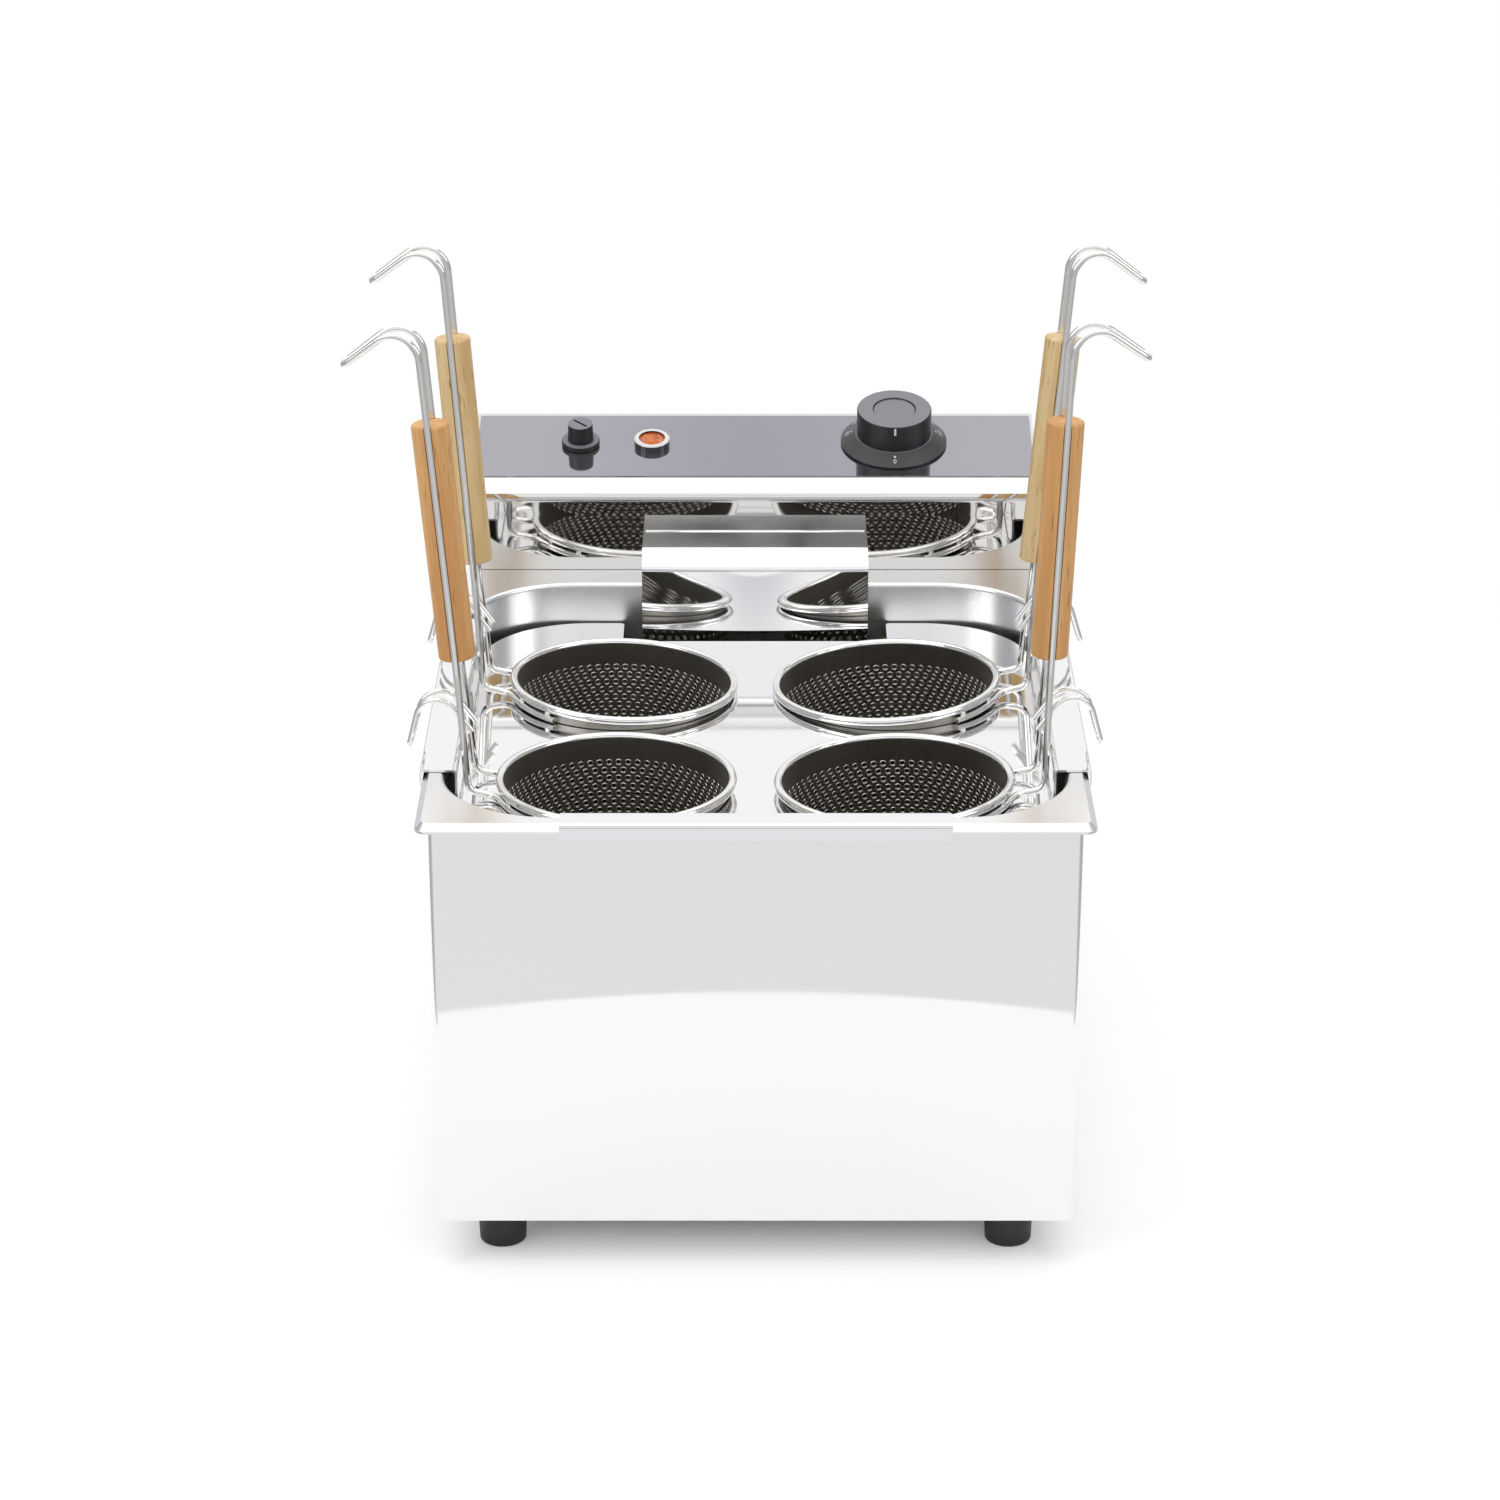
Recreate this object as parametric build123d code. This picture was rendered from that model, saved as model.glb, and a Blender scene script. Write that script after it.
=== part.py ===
from build123d import *
import math
import os

# Countertop pasta cooker with four lift-out baskets. Millimetres, degrees.
# +X is right, +Y is the back and +Z is up. The origin is on the ground, under the middle of the
# whole cooker. Setbacks are measured back from the casing's front face, drops down from the top
# of the tank's flange.

# Fits and cutting
seat_gap = 0.2
weld_gap = 0.1
overrun = 5.0

# Feet
foot_height = 27.0
foot_top_diameter = 27.4
foot_bottom_diameter = 25.0
foot_edge_radius = 1.5
foot_inset = 32.7
foot_recess_diameter = 13.0
foot_recess_depth = 12.0
foot_screw_diameter = 6.0
foot_screw_head_diameter = 11.0
foot_screw_head_height = 4.0
foot_nut_across_flats = 10.0
foot_nut_height = 5.0
screw_hole_gap = 0.2

# Casing
casing_corner_radius = 3.0
casing_sheet = 1.0
casing_hem_height = 10.0
casing_flange_width = 52.0
casing_opening_radius = 12.0

# Base plate
base_overlap = 10.0
base_sheet = 1.0
base_slot_length = 80.0
base_slot_width = 5.0
base_slot_pitch = 22.0
base_slot_rows = 7
base_screw_diameter = 4.0
base_screw_head_diameter = 7.0
base_screw_head_height = 2.0
base_screw_length = 6.0

# Tank
rim_height = 232.0
rim_overhang = 6.8
rim_bevel = 3.6
rim_drop = 5.1
rim_corner_radius = 7.0
tank_sheet = 1.0
tank_side_gap = 5.0
tank_setback = 6.5
tank_back_setback = 24.3
tank_corner_radius = 60.0
tank_below_cups = 43.5
tank_floor_radius = 24.0
tank_edge_radius = 2.6

# Basket rack
rack_sheet = 1.2
rack_drop = 24.4
rack_side_gap = 6.6
rack_front_setback = 9.0
rack_back_gap = 2.2
rack_front_radius = 56.0
rack_back_radius = 62.0
rack_bend_radius = 1.8
rack_rim_gap = 0.6
rack_lip_drop = 7.6
front_hook_corner_gap = 2.1
side_hook_setback = 66.5
side_hook_back_setback = 89.8
basket_side_gap = 28.0
basket_row_gap = 30.0
basket_wall_gap = 22.4
basket_front_setback = 37.5
basket_back_setback = 79.5
basket_hole_gap = 1.0
notch_side_gap = 11.2
notch_front_gap = 11.5
notch_radius = 3.0

# Basket cups
cup_radius = 61.0
cup_sheet = 0.8
cup_depth = 125.0
cup_floor_radius = 10.0
bead_radius = 2.45

# Basket handle wire
wire_radius = 1.9
wire_rest_gap = 0.3
bead_to_wire = 5.7
wrap_angle = 58.0
wrap_leave_angle = 30.0
weld_pad_radius = 1.5
weld_pad_inset_angle = 5.0
leg_half_gap = 15.0
leg_rise = 2.0
leg_side_bend = 11.0
leg_up_bend = 7.0
leg_stand_off = 19.0
leg_pinch_bend = 40.0
leg_pinch_before_grip = 8.0

# Wooden grips
grip_height_on_leg = 71.4
grip_length = 131.0
grip_radius = 10.0
grip_edge_radius = 1.5
grip_wire_offset = 9.0
grip_slot_gap = 0.2

# Hook at the top of each handle
hook_rise = 36.0
hook_bend = 14.0
hook_slope = 33.0
hook_reach = 41.0
hook_end_half_gap = 4.0
hook_end_bend = 3.7

# Hanging hook that is welded to the legs and rests the handle on the rack's side
hang_wire_radius = 1.5
hang_tail_stand_off = 15.5
hang_tail_height = 11.5
hang_corner_stand_off = 40.0
hang_corner_height = 43.0
hang_end_stand_off = 50.6
hang_end_height = 0.5
hang_bend = 12.0
hang_end_half_gap = 4.0
hang_end_bend = 3.7

# How the baskets stand: every handle is turned back a little and leans outward, and each basket's
# inner side settles towards the rack's plate
basket_names = ("front_left", "front_right", "rear_left", "rear_right")
handle_turn_angle = 4.5
handle_lean_angles = {"front_left": 5.1, "front_right": 2.4, "rear_left": 4.3, "rear_right": 5.1}
basket_tilt_angles = {"front_left": 0.2, "front_right": 1.45, "rear_left": 2.2, "rear_right": 2.95}

# Control head
head_side_inset = 2.0
head_sheet = 1.0
head_front_height = 48.1
head_chamfer = 7.3
head_slope = 13.5
head_slope_length = 73.9
head_box_drop = 82.0
head_rim_gap = 2.2
head_bend_radius = 1.6
head_back_lip = 12.0
back_cover_inset = 2.0
louvre_length = 70.0
louvre_width = 4.0
louvre_pitch = 11.0
louvre_rows = 6
louvre_bank_offset = 62.0
louvre_top_drop = 8.0
cover_screw_diameter = 3.5
cover_screw_head_diameter = 7.0
cover_screw_head_height = 1.8
cover_screw_length = 6.0

# Fascia panel on the sloped top
panel_sheet = 0.8
panel_side_margin = 1.7
panel_front_margin = 0.4
panel_length = 69.6
panel_corner_radius = 1.5

# Rail on the casing's back wall that carries the head's lower box
rail_length = 180.0
rail_sheet = 1.5
rail_shelf = 70.0
rail_upstand = 34.0
rail_bend_radius = 3.0
rail_screw_diameter = 5.0
rail_screw_head_diameter = 9.0
rail_screw_head_height = 3.0
rail_screw_length = 7.0

# Element hood
hood_width = 132.8
hood_sheet = 1.0
hood_height = 24.2
hood_top_depth = 29.8
hood_front_depth = 46.0
hood_facet_drop = 5.6
hood_skirt_drop = 57.0
hood_tank_gap = 3.0
hood_bend_radius = 2.2

# Heating elements: tubes with both legs under the hood and a loop in the tank
element_diameter = 8.0
element_floor_gap = 10.0
element_leg_depth = 37.0
element_cross_height = 11.5
element_inside_head = 16.0
element_spread = 40.0
element_front_setback = 52.0
element_leg_bend = 12.0
element_cross_bend = 8.0
element_hole_gap = 0.2
element_leg_shares = {"outer": 0.3916, "middle": 0.256, "inner": 0.1205}
element_row_gap = 42.0
outer_loop_half_width = 122.0
outer_loop_bend = 40.0
middle_loop_half_width = 74.0
middle_loop_bend = 30.0
inner_loop_half_width = 26.0
inner_loop_bend = 24.0
strap_setback = 180.0
strap_width = 12.0
strap_sheet = 1.5
clamp_plate_height = 18.0
clamp_plate_sheet = 3.0

# Thermostat bulb and its capillary tube
bulb_diameter = 6.0
bulb_length = 100.0
bulb_side_offset = 50.0
bulb_back_depth = 121.0
capillary_diameter = 2.0
capillary_side_share = 0.188
capillary_run = 28.0
capillary_climb_run = 10.0
capillary_climb = 16.0
capillary_bend = 5.0

# Temperature control
knob_side_inset = 82.9
knob_up_slope = 39.0
knob_skirt_diameter = 63.6
knob_skirt_edge = 1.0
knob_skirt_height = 6.2
knob_cap_diameter = 44.6
knob_groove_diameter = 46.4
knob_height = 22.9
knob_cap_edge_radius = 1.0
knob_panel_gap = 0.5
knob_wall = 2.4
knob_dish_diameter = 26.0
knob_dish_depth = 0.8
knob_hub_diameter = 13.0
knob_pointer_width = 1.6
knob_pointer_length = 6.0
knob_pointer_depth = 0.6

# Power control
power_side_inset = 61.6
power_up_slope = 37.0
power_collar_diameter = 22.7
power_collar_height = 3.0
power_cap_diameter = 15.6
power_cap_top_diameter = 14.6
power_cap_height = 11.0
power_slot_width = 1.4
power_slot_length = 10.7
power_slot_depth = 1.2
power_slot_angle = 47.0
power_hub_diameter = 9.0

# Shafts and the bodies under the panel
shaft_diameter = 6.0
shaft_running_gap = 0.05
shaft_fit_gap = 0.05
shaft_in_body = 12.0
shaft_in_knob = 9.0
bushing_diameter = 9.8
bushing_stand = 2.5
bushing_hole_gap = 0.2
thermostat_size = 38.0
thermostat_height = 24.0
switch_size = 27.0
switch_height = 30.0
body_edge_radius = 2.0

# Pilot lamp
lamp_side_inset = 104.4
lamp_up_slope = 37.0
lamp_bezel_diameter = 21.4
lamp_bezel_height = 4.4
lamp_lens_diameter = 15.4
lamp_lens_crown = 1.0
lamp_lens_table_diameter = 9.0
lamp_lens_sides = 8
lamp_seat_depth = 2.6
lamp_body_diameter = 12.0
lamp_body_length = 26.0
lamp_hole_gap = 0.2

# Inner parts of the head
limiter_side_inset = 50.0
limiter_height_above_rim = 22.0
limiter_diameter = 24.0
limiter_length = 18.0
limiter_plate_width = 40.0
limiter_plate_height = 26.0
limiter_plate_sheet = 1.5
terminal_length = 56.0
terminal_width = 24.0
terminal_height = 18.0
terminal_side_inset = 108.0
terminal_poles = 3
terminal_hole_diameter = 5.0
terminal_hole_depth = 12.0
gland_side_inset = 40.0
gland_thread_diameter = 16.0
gland_flange_diameter = 24.0
gland_flange_height = 5.0
gland_dome_diameter = 20.0
gland_dome_height = 13.0
gland_bore_diameter = 9.0
gland_nut_across_flats = 22.0
gland_nut_height = 4.0

# Widths and depths that follow from the baskets
basket_side_pitch = 2 * cup_radius + basket_side_gap
basket_row_pitch = 2 * cup_radius + basket_row_gap
rack_inner_width = basket_side_pitch + 2 * (cup_radius + basket_wall_gap)
tank_width = rack_inner_width + 2 * rack_side_gap
casing_width = tank_width + 2 * tank_side_gap
head_width = casing_width - 2 * head_side_inset
panel_width = head_width - 2 * panel_side_margin
knob_side_offset = panel_width / 2 - knob_side_inset
power_side_offset = power_side_inset - panel_width / 2
lamp_side_offset = lamp_side_inset - panel_width / 2
limiter_side_offset = head_width / 2 - limiter_side_inset
terminal_side_offset = terminal_side_inset - head_width / 2
gland_side_offset = head_width / 2 - gland_side_inset
notch_width = hood_width + 2 * notch_side_gap
capillary_side_offset = hood_width * capillary_side_share
front_row_setback = basket_front_setback + cup_radius
casing_depth = front_row_setback + basket_row_pitch + cup_radius + basket_back_setback
tank_length = casing_depth - tank_setback - tank_back_setback
side_hook_length = casing_depth - side_hook_setback - side_hook_back_setback
front_hook_length = rack_inner_width + 2 * (rack_sheet - rack_front_radius - front_hook_corner_gap)

# Heights and places that follow from the sizes above
rim_top = foot_height + rim_height
casing_top = rim_top - tank_sheet - seat_gap
front_reach = rim_overhang + rack_rim_gap + rack_sheet
slope_run = head_slope_length * math.cos(math.radians(head_slope))
slope_climb = head_slope_length * math.sin(math.radians(head_slope))
head_depth = head_chamfer + slope_run + head_sheet
overall_depth = front_reach + casing_depth + head_depth + cover_screw_head_height
casing_front = front_reach - overall_depth / 2
casing_back = casing_front + casing_depth
casing_middle = casing_front + casing_depth / 2
tank_front = casing_front + tank_setback
tank_back = tank_front + tank_length
tank_middle = (tank_front + tank_back) / 2
plate_top = rim_top - rack_drop
wire_height = plate_top + wire_rest_gap + wire_radius
bead_height = wire_height + bead_to_wire
tank_floor = bead_height - cup_depth - tank_below_cups
tank_depth = rim_top - tank_floor
leg_foot_height = wire_height + leg_rise
shell_back = casing_back + head_chamfer + slope_run
box_front = casing_back + rim_overhang + head_rim_gap
box_bottom = rim_top - head_box_drop
element_height = tank_floor + tank_sheet + element_floor_gap + element_diameter / 2
element_cross = rim_top + element_cross_height
element_leg_y = casing_back - element_leg_depth
bulb_back = casing_back - bulb_back_depth
leg_reach_at_rim = cup_radius + leg_stand_off

# Half width of each heating loop, its bend at the front and its setback behind the outer loop
element_loops = {
    "outer": (outer_loop_half_width, outer_loop_bend, 0),
    "middle": (middle_loop_half_width, middle_loop_bend, element_row_gap),
    "inner": (inner_loop_half_width, inner_loop_bend, 2 * element_row_gap),
}

# A bevel of constant sheet is smaller on the sheet's inner side by this share of its thickness
bevel_share = 2 - math.sqrt(2)

# The sloped top as a plane: X to the right, Y up the slope, Z out of the panel
panel_plane = Plane(
    origin=(0, casing_back + head_chamfer, rim_top + head_front_height + head_chamfer),
    x_dir=(1, 0, 0),
    z_dir=(0, -math.sin(math.radians(head_slope)), math.cos(math.radians(head_slope))),
)


def slab(width, depth, height, radius=0.0):
    """Upright block with rounded vertical edges, standing on z = 0."""
    outline = RectangleRounded(width, depth, radius) if radius > 0 else Rectangle(width, depth)
    return extrude(outline, height)


def side_profile(points, width):
    """Solid of a profile in the YZ plane, centred on x = 0."""
    face = make_face(Polyline(*[(0, y, z) for y, z in points], close=True))
    return extrude(face, width / 2, dir=(1, 0, 0), both=True)


def tube(path, radius):
    """Round bar of the given radius along a path."""
    start = Plane(origin=path @ 0, z_dir=path % 0)
    return sweep(start * Circle(radius), path=path)


def hexagon(across_flats, height):
    """Hexagonal block standing on z = 0."""
    return extrude(RegularPolygon(across_flats / 2, 6, major_radius=False), height)


def corner_places(inset):
    """The four places at one inset from the casing's corners."""
    x = casing_width / 2 - inset
    front, back = casing_front + inset, casing_back - inset
    return [(-x, front), (x, front), (-x, back), (x, back)]


def on_panel(side_offset, up_slope, lift=0.0):
    """Location on the sloped top, raised by a lift along its normal."""
    return Location(panel_plane) * Pos(side_offset, up_slope, lift)


# Feet and casing
def foot():
    """Tapered rubber foot with a recess for its screw."""
    body = Cone(
        foot_bottom_diameter / 2,
        foot_top_diameter / 2,
        foot_height,
        align=(Align.CENTER, Align.CENTER, Align.MIN),
    )
    body = fillet(body.edges().group_by(Axis.Z)[0], foot_edge_radius)
    body -= extrude(Circle(foot_recess_diameter / 2), foot_recess_depth)
    return body - extrude(Circle(foot_screw_diameter / 2 + screw_hole_gap), foot_height)


def foot_screw():
    """Pan-head screw, seated in a foot's recess."""
    head = Pos(0, 0, foot_recess_depth - foot_screw_head_height) * extrude(
        Circle(foot_screw_head_diameter / 2), foot_screw_head_height
    )
    head = fillet(head.edges().group_by(Axis.Z)[0], foot_screw_head_height / 3)
    shank_length = foot_height + casing_sheet + foot_nut_height + casing_sheet - foot_recess_depth
    return head + Pos(0, 0, foot_recess_depth) * extrude(Circle(foot_screw_diameter / 2), shank_length)


def foot_nut():
    """Nut on top of the casing's bottom flange."""
    nut = Pos(0, 0, foot_height + casing_sheet) * hexagon(foot_nut_across_flats, foot_nut_height)
    bore = extrude(Circle(foot_screw_diameter / 2 + shaft_fit_gap), foot_height * 2)
    return nut - bore


def base_screw_places():
    """Places of the base plate's screws: the corners and the middles of the long sides."""
    inset = casing_flange_width - base_overlap / 2
    x = casing_width / 2 - inset
    return corner_places(inset) + [(-x, casing_middle), (x, casing_middle)]


def casing_shell():
    """Folded casing: four walls, a hem at the top and a flange turned in at the bottom."""
    height = casing_top - foot_height
    sheet = casing_sheet
    body = slab(casing_width, casing_depth, height, casing_corner_radius)
    inner = slab(casing_width - 2 * sheet, casing_depth - 2 * sheet, height, casing_corner_radius - sheet)
    body -= Pos(0, 0, sheet) * inner
    hem = slab(casing_width - 2 * sheet, casing_depth - 2 * sheet, casing_hem_height,
               casing_corner_radius - sheet)
    hem -= slab(casing_width - 4 * sheet, casing_depth - 4 * sheet, casing_hem_height,
                casing_corner_radius - 2 * sheet)
    body += Pos(0, 0, height - casing_hem_height) * hem
    body -= slab(casing_width - 2 * casing_flange_width, casing_depth - 2 * casing_flange_width,
                 height, casing_opening_radius)
    body = Pos(0, casing_middle, foot_height) * body
    foot_hole = Cylinder(foot_screw_diameter / 2 + screw_hole_gap, overrun)
    base_hole = Cylinder(base_screw_diameter / 2 + screw_hole_gap, overrun)
    for x, y in corner_places(foot_inset):
        body -= Pos(x, y, foot_height) * foot_hole
    for x, y in base_screw_places():
        body -= Pos(x, y, foot_height) * base_hole
    for x in rail_screw_sides():
        body -= Pos(x, casing_back, rail_screw_height()) * Rot(90, 0, 0) * Cylinder(
            rail_screw_diameter / 2 + screw_hole_gap, overrun
        )
    return body


def base_plate():
    """Closing plate on the bottom flange, with rows of vent slots."""
    width = casing_width - 2 * (casing_flange_width - base_overlap)
    depth = casing_depth - 2 * (casing_flange_width - base_overlap)
    plate = slab(width, depth, base_sheet, casing_opening_radius)
    slot = extrude(SlotOverall(base_slot_length, base_slot_width), base_sheet)
    for row in range(base_slot_rows):
        y = (row - (base_slot_rows - 1) / 2) * base_slot_pitch
        for side in (-1, 1):
            plate -= Pos(side * (base_slot_length + base_slot_pitch) / 2, y, 0) * slot
    hole = extrude(Circle(base_screw_diameter / 2 + screw_hole_gap), base_sheet)
    for x, y in base_screw_places():
        plate -= Pos(x, y - casing_middle, 0) * hole
    return Pos(0, casing_middle, foot_height + casing_sheet) * plate


def base_plate_screw():
    """Low-head screw through the flange and the base plate, head below."""
    head = Pos(0, 0, -base_screw_head_height) * extrude(
        Circle(base_screw_head_diameter / 2), base_screw_head_height
    )
    head = chamfer(head.edges().group_by(Axis.Z)[0], base_screw_head_height / 3)
    return Pos(0, 0, foot_height) * (head + extrude(Circle(base_screw_diameter / 2), base_screw_length))


# Rail behind the casing
def rail_screw_height():
    """Height of the rail's screws."""
    return box_bottom - seat_gap - rail_sheet + rail_upstand / 2


def rail_screw_sides():
    """The two sideways places of the rail's screws."""
    return (-rail_length / 3, rail_length / 3)


def head_rail():
    """Angle on the casing's back wall: an upstand and a shelf under the head's box."""
    shelf_z = box_bottom - seat_gap - rail_sheet / 2
    wall_y = casing_back + rail_sheet / 2
    path = FilletPolyline(
        (0, casing_back + rail_shelf, shelf_z),
        (0, wall_y, shelf_z),
        (0, wall_y, shelf_z + rail_upstand),
        radius=rail_bend_radius,
    )
    profile = Plane(origin=path @ 0, x_dir=(1, 0, 0), z_dir=path % 0) * Rectangle(rail_length, rail_sheet)
    rail = sweep(profile, path=path)
    for x in rail_screw_sides():
        rail -= Pos(x, casing_back, rail_screw_height()) * Rot(90, 0, 0) * Cylinder(
            rail_screw_diameter / 2 + screw_hole_gap, overrun
        )
    return rail


def head_rail_screw():
    """Screw through the rail into the casing's back wall, its head outside."""
    head = extrude(Circle(rail_screw_head_diameter / 2), rail_screw_head_height)
    head = fillet(head.edges().group_by(Axis.Z)[-1], rail_screw_head_height / 3)
    shank = Pos(0, 0, -rail_screw_length) * extrude(Circle(rail_screw_diameter / 2), rail_screw_length)
    return Rot(-90, 0, 0) * (head + shank)


# Tank
def tank_pan():
    """Drawn pan with a wide flange whose edge is bevelled and turned down."""
    rim_width = casing_width + 2 * rim_overhang
    rim_depth = casing_depth + 2 * rim_overhang
    skirt = slab(rim_width, rim_depth, rim_drop, rim_corner_radius)
    skirt = chamfer(skirt.edges().group_by(Axis.Z)[-1], rim_bevel)
    hollow = slab(rim_width - 2 * tank_sheet, rim_depth - 2 * tank_sheet, rim_drop - tank_sheet,
                  rim_corner_radius - tank_sheet)
    hollow = chamfer(hollow.edges().group_by(Axis.Z)[-1], rim_bevel - tank_sheet * bevel_share)
    rim = Pos(0, casing_middle, rim_top - rim_drop) * (skirt - hollow)
    tub = slab(tank_width + 2 * tank_sheet, tank_length + 2 * tank_sheet, tank_depth,
               tank_corner_radius + tank_sheet)
    tub = fillet(tub.edges().group_by(Axis.Z)[0], tank_floor_radius + tank_sheet)
    pan = rim + Pos(0, tank_middle, tank_floor) * tub
    under_flange = [
        edge for edge in pan.edges()
        if abs(edge.center().Z - (rim_top - tank_sheet)) < tank_sheet / 2
        and abs(edge.bounding_box().size.Z) < tank_sheet / 2
        and abs(edge.center().X) < tank_width / 2 + 2 * tank_sheet
        and tank_front - 2 * tank_sheet < edge.center().Y < tank_back + 2 * tank_sheet
    ]
    pan = fillet(under_flange, tank_edge_radius - tank_sheet)
    cavity = slab(tank_width, tank_length, tank_depth, tank_corner_radius)
    cavity = fillet(cavity.edges().group_by(Axis.Z)[0], tank_floor_radius)
    pan -= Pos(0, tank_middle, tank_floor + tank_sheet) * cavity
    mouth = [
        edge for edge in pan.edges().group_by(Axis.Z)[-1]
        if abs(edge.center().X) < tank_width / 2 + tank_sheet
        and tank_front - tank_sheet < edge.center().Y < tank_back + tank_sheet
    ]
    return fillet(mouth, tank_edge_radius)


# Rack
def rack_hook(path_points, length, along):
    """Strip of sheet bent over the tank's flange, swept along its section's path."""
    path = FilletPolyline(*path_points, radius=rack_bend_radius)
    section = Plane(origin=path @ 0, x_dir=along, z_dir=path % 0) * Rectangle(length, rack_sheet)
    return sweep(section, path=path)


def rack_outline():
    """Outline of the rack's plate, with round corners and the notch for the hood."""
    half = rack_inner_width / 2 + rack_sheet
    front = casing_front + rack_front_setback - rack_sheet
    back = tank_back - rack_back_gap
    plate = Pos(0, (front + back) / 2) * Rectangle(2 * half, back - front)
    plate = fillet(plate.vertices().group_by(Axis.Y)[0], rack_front_radius)
    plate = fillet(plate.vertices().group_by(Axis.Y)[-1], rack_back_radius)
    notch_front = casing_back - hood_front_depth - notch_front_gap
    notch_length = back + overrun - notch_front
    plate -= Pos(0, notch_front + notch_length / 2) * Rectangle(notch_width, notch_length)
    inner_corners = [
        vertex for vertex in plate.vertices() if abs(abs(vertex.X) - notch_width / 2) < seat_gap
    ]
    return fillet(inner_corners, notch_radius)


def basket_place(name):
    """Middle of a basket in plan."""
    x = basket_side_pitch / 2
    y = casing_front + front_row_setback
    if name.startswith("rear"):
        y += basket_row_pitch
    return (-x, y) if name.endswith("left") else (x, y)


def basket_rack():
    """Folded rack: a plate with four holes, hung on the flange at the front and both sides."""
    mid = plate_top - rack_sheet / 2
    top = rim_top + seat_gap + rack_sheet / 2
    lip_end = rim_top - rack_lip_drop
    outline = rack_outline()
    for name in basket_names:
        outline -= Pos(*basket_place(name)) * Circle(cup_radius + basket_hole_gap)
    plate = Pos(0, 0, plate_top - rack_sheet) * extrude(outline, rack_sheet)

    wall_y = casing_front + rack_front_setback - rack_sheet / 2
    lip_y = casing_front - front_reach + rack_sheet / 2
    strip = rack_bend_radius + rack_sheet
    plate -= Pos(0, wall_y + rack_bend_radius - strip, mid) * Box(
        front_hook_length, 2 * strip, 2 * rack_sheet
    )
    front_path = [
        (wall_y + 2 * strip, mid), (wall_y, mid), (wall_y, top), (lip_y, top), (lip_y, lip_end)
    ]
    plate += rack_hook([(0, y, z) for y, z in front_path], front_hook_length, (1, 0, 0))
    wall_x = rack_inner_width / 2 + rack_sheet / 2
    lip_x = casing_width / 2 + front_reach - rack_sheet / 2
    hook_y = casing_front + side_hook_setback + side_hook_length / 2
    for side in (-1, 1):
        plate -= Pos(side * (wall_x - rack_bend_radius + strip), hook_y, mid) * Box(
            2 * strip, side_hook_length, 2 * rack_sheet
        )
        side_path = [
            (wall_x - 2 * strip, mid), (wall_x, mid), (wall_x, top), (lip_x, top), (lip_x, lip_end)
        ]
        plate += rack_hook([(side * x, hook_y, z) for x, z in side_path], side_hook_length, (0, 1, 0))
    return plate


# Baskets, built round their own axis with the handle towards +X
def leg_plane(lean, tilt):
    """Plane of a leaning handle: X outward, Y across, Z up along the legs."""
    slope = math.radians(lean + tilt)
    at_rim = leg_reach_at_rim + rack_drop * math.sin(math.radians(tilt))
    reach = at_rim - (rim_top - leg_foot_height) * math.tan(slope)
    return Plane(
        origin=(reach, 0, leg_foot_height),
        x_dir=(math.cos(slope), 0, -math.sin(slope)),
        z_dir=(math.sin(slope), 0, math.cos(slope)),
    )


def place_basket(name, piece):
    """Put a piece of a basket at its hole: tilted on the wire's ends, its handle to the side."""
    x, y = basket_place(name)
    angle = 180 - handle_turn_angle if name.endswith("left") else handle_turn_angle
    pivot = Pos(wrap_point(wrap_angle).X, 0, plate_top)
    tilted = pivot * Rot(0, -basket_tilt_angles[name], 0) * pivot.inverse() * piece
    return Pos(x, y, 0) * Rot(0, 0, angle) * tilted


def basket_cup():
    """Deep cup with a rounded floor edge and a rolled bead."""
    floor = bead_height - cup_depth
    cup = Pos(0, 0, floor) * extrude(Circle(cup_radius), cup_depth)
    cup = fillet(cup.edges().group_by(Axis.Z)[0], cup_floor_radius)
    inner = Pos(0, 0, floor + cup_sheet) * extrude(Circle(cup_radius - cup_sheet), cup_depth)
    inner = fillet(inner.edges().group_by(Axis.Z)[0], cup_floor_radius - cup_sheet)
    bead = Pos(0, 0, bead_height) * Torus(cup_radius - cup_sheet + bead_radius, bead_radius)
    return cup - inner + bead


def wrap_point(angle):
    """Point on the wire that lies round the cup under its bead."""
    ring = cup_radius + wire_radius + weld_gap
    return Vector(
        ring * math.cos(math.radians(angle)), ring * math.sin(math.radians(angle)), wire_height
    )


def leg_half_gap_at(height_on_leg):
    """Half the gap between the two legs at a height along them."""
    pinch = grip_height_on_leg - leg_pinch_before_grip
    return leg_half_gap - (leg_half_gap - grip_wire_offset) * min(height_on_leg / pinch, 1)


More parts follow.
